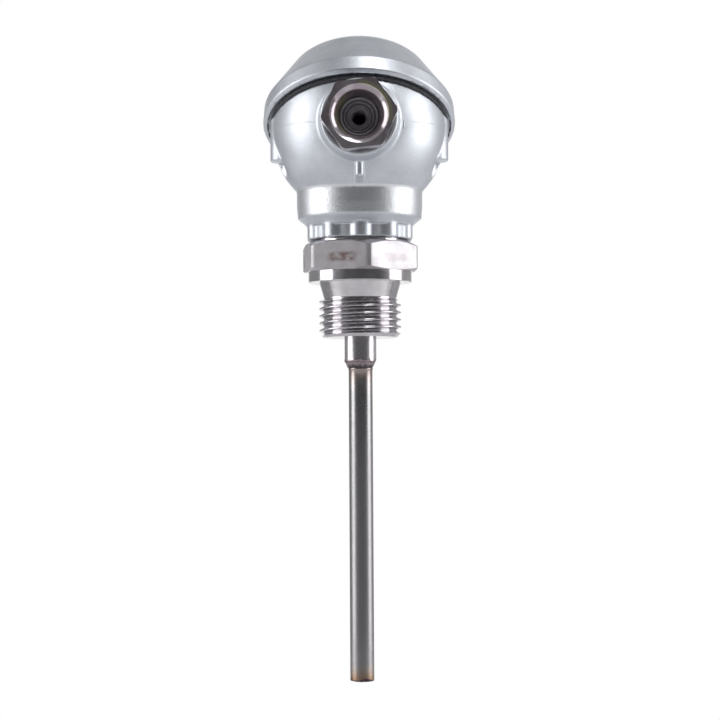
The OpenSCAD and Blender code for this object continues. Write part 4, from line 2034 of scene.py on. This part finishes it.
@dataclass
class Studio:
    """White room, pale floor, two upright soft boxes, an overhead one, and the camera.

    Attributes:
        boxes: the lamps.
        floor_paint: the floor's colour.
        fade: distances from the axis where the floor starts and ends fading to white.
        room_light: strength of the walls.
        front_light: strength of the dim space where the camera stands.
        back_light: strength of the wall behind the object.
        front_deg: direction of the dim space's middle.
        floor_z: the floor's height.
        floor_r: its radius.
        floor_sides: how many sides it has.
        distance: the camera's distance in front of the axis.
        eye_z: the camera's height.
        lens: its focal length.
        sensor: its sensor's width.
        clip: nearest and furthest distance that it sees, in metres.
        pitch_deg: how far it looks up.
        roll_deg: how far it is rolled.
        eye_x: how far it stands to the right.
    """

    boxes: tuple[SoftBox, ...] = (
        SoftBox("left", azimuth=-81, elevation=12, glow=2.6, wide=0.50, high=0.82),
        SoftBox("right", azimuth=87, elevation=12, glow=2.6, wide=0.50, high=0.82),
        SoftBox("overhead", azimuth=32, elevation=60, glow=4.3, wide=0.32, high=0.46),
    )
    floor_paint: Colour = (0.82, 0.82, 0.83)
    fade: tuple[float, float] = (420.0, 760.0)
    room_light: float = 0.31
    front_light: float = 0.115
    back_light: float = 0.95
    front_deg: float = 6.0
    floor_z: float = -260.0
    floor_r: float = 800.0
    floor_sides: int = 96
    distance: float = 603.0
    eye_z: float = -43.3
    lens: float = 120.0
    sensor: float = 36.0
    clip: tuple[float, float] = (0.05, 10.0)
    pitch_deg: float = 2.27
    roll_deg: float = -0.33
    eye_x: float = -0.13

    def build(self) -> None:
        """Floor, world, lamps and camera."""
        self._floor()
        self._world()
        for box in self.boxes:
            box.build()
        self._camera()

    def _floor(self) -> None:
        """A round pale floor well below the tip, that fades to white away from the shadow."""
        turns = TAU * np.arange(self.floor_sides) / self.floor_sides
        rim = self.floor_r * np.stack([np.cos(turns), np.sin(turns)], axis=1)
        points = np.column_stack([rim, np.full(self.floor_sides, self.floor_z)])
        floor = new_piece("floor", points, [tuple(range(self.floor_sides))])
        material = bpy.data.materials.new("pale_floor")
        material.use_nodes = True
        graph = Graph(material.node_tree)
        x, y, _ = graph.axes(graph.place())
        away = (x * x + y * y) ** 0.5
        paint = graph.node("ShaderNodeBsdfDiffuse", None, {"Color": (*self.floor_paint, 1.0)})
        white = graph.node("ShaderNodeEmission", None, {"Color": (1, 1, 1, 1), "Strength": 1.0})
        rays = graph.node("ShaderNodeLightPath").socket.node.outputs
        seen = sum(Signal(graph, rays[f"Is {kind} Ray"]) for kind in RAY_KINDS)
        share = seen.clamped() * away.step(*self.fade)
        mixed = graph.node("ShaderNodeMixShader", None, {0: share, 1: paint, 2: white})
        graph.node("ShaderNodeOutputMaterial", None, {"Surface": mixed})
        floor.data.materials.append(material)

    def _world(self) -> None:
        """White behind, pale above and below, and a dim space where the camera stands."""
        world = bpy.data.worlds.new("studio")
        bpy.context.scene.world = world
        world.use_nodes = True
        graph = Graph(world.node_tree)
        direction = graph.node("ShaderNodeTexCoord", output="Generated")
        split = graph.node("ShaderNodeSeparateXYZ", None, {0: direction}).socket.node.outputs
        x, y, z = (Signal(graph, split[i]) for i in range(3))
        turn = x.angle_from(y * -1.0) * (180 / math.pi)
        front = abs(turn - self.front_deg).step(66, 34) * z.step(0.82, 0.60) * z.step(-0.52, -0.34)
        back = abs(turn).step(150, 178) * z.step(-0.6, -0.3) * z.step(0.88, 0.45)
        wing = x.step(0.1, 0.8) * y.step(0.1, 0.5) * z.step(0.6, 0.3)
        room = self.room_light + 0.25 * z.step(-0.25, -0.5) + 0.04 * z.step(0.35, 0.7) + 0.14 * wing
        light = front * self.front_light + (1 - front) * room
        light = light + back * (self.back_light - light)
        rays = graph.node("ShaderNodeLightPath").socket.node.outputs
        camera, glossy, through = (Signal(graph, rays[f"Is {kind} Ray"]) for kind in RAY_KINDS)
        seen = (camera + (glossy + through) * back).clamped()
        tint = graph.blend(seen, (0.97, 0.98, 1.0), (1.0, 1.0, 1.0))
        strength = seen + (1 - seen) * light
        shade = graph.node("ShaderNodeBackground", None, {"Color": tint, "Strength": strength})
        graph.node("ShaderNodeOutputWorld", None, {"Surface": shade})

    def _camera(self) -> None:
        """A long lens, low down and looking slightly up."""
        camera = bpy.data.cameras.new("camera")
        camera.lens = self.lens
        camera.sensor_width = self.sensor
        camera.clip_start, camera.clip_end = self.clip
        eye = bpy.data.objects.new("camera", camera)
        eye.location = (self.eye_x * MM, -self.distance * MM, self.eye_z * MM)
        look = Euler((math.radians(90 + self.pitch_deg), 0, 0)).to_matrix().to_4x4()
        eye.rotation_mode = "QUATERNION"
        roll = Matrix.Rotation(math.radians(self.roll_deg), 4, "Z")
        eye.rotation_quaternion = (look @ roll).to_quaternion()
        bpy.context.scene.collection.objects.link(eye)
        bpy.context.scene.camera = eye


def corners(bounds: tuple[Vector, Vector]) -> list[list[float]]:
    """A box as plain lists of numbers."""
    return [list(bounds[0]), list(bounds[1])]


def main() -> None:
    """Builds the studio and every sub-assembly."""
    logging.basicConfig(level=logging.INFO, format="%(name)s: %(message)s")
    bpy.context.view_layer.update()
    Studio().build()
    for assembly in (CastHead(), CastLid(), CableGland(), ProcessFitting(), Probe(), InnerPieces()):
        for piece in assembly.build():
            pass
    bpy.context.scene.view_settings.view_transform = "Standard"


if __name__ == "__main__":
    main()
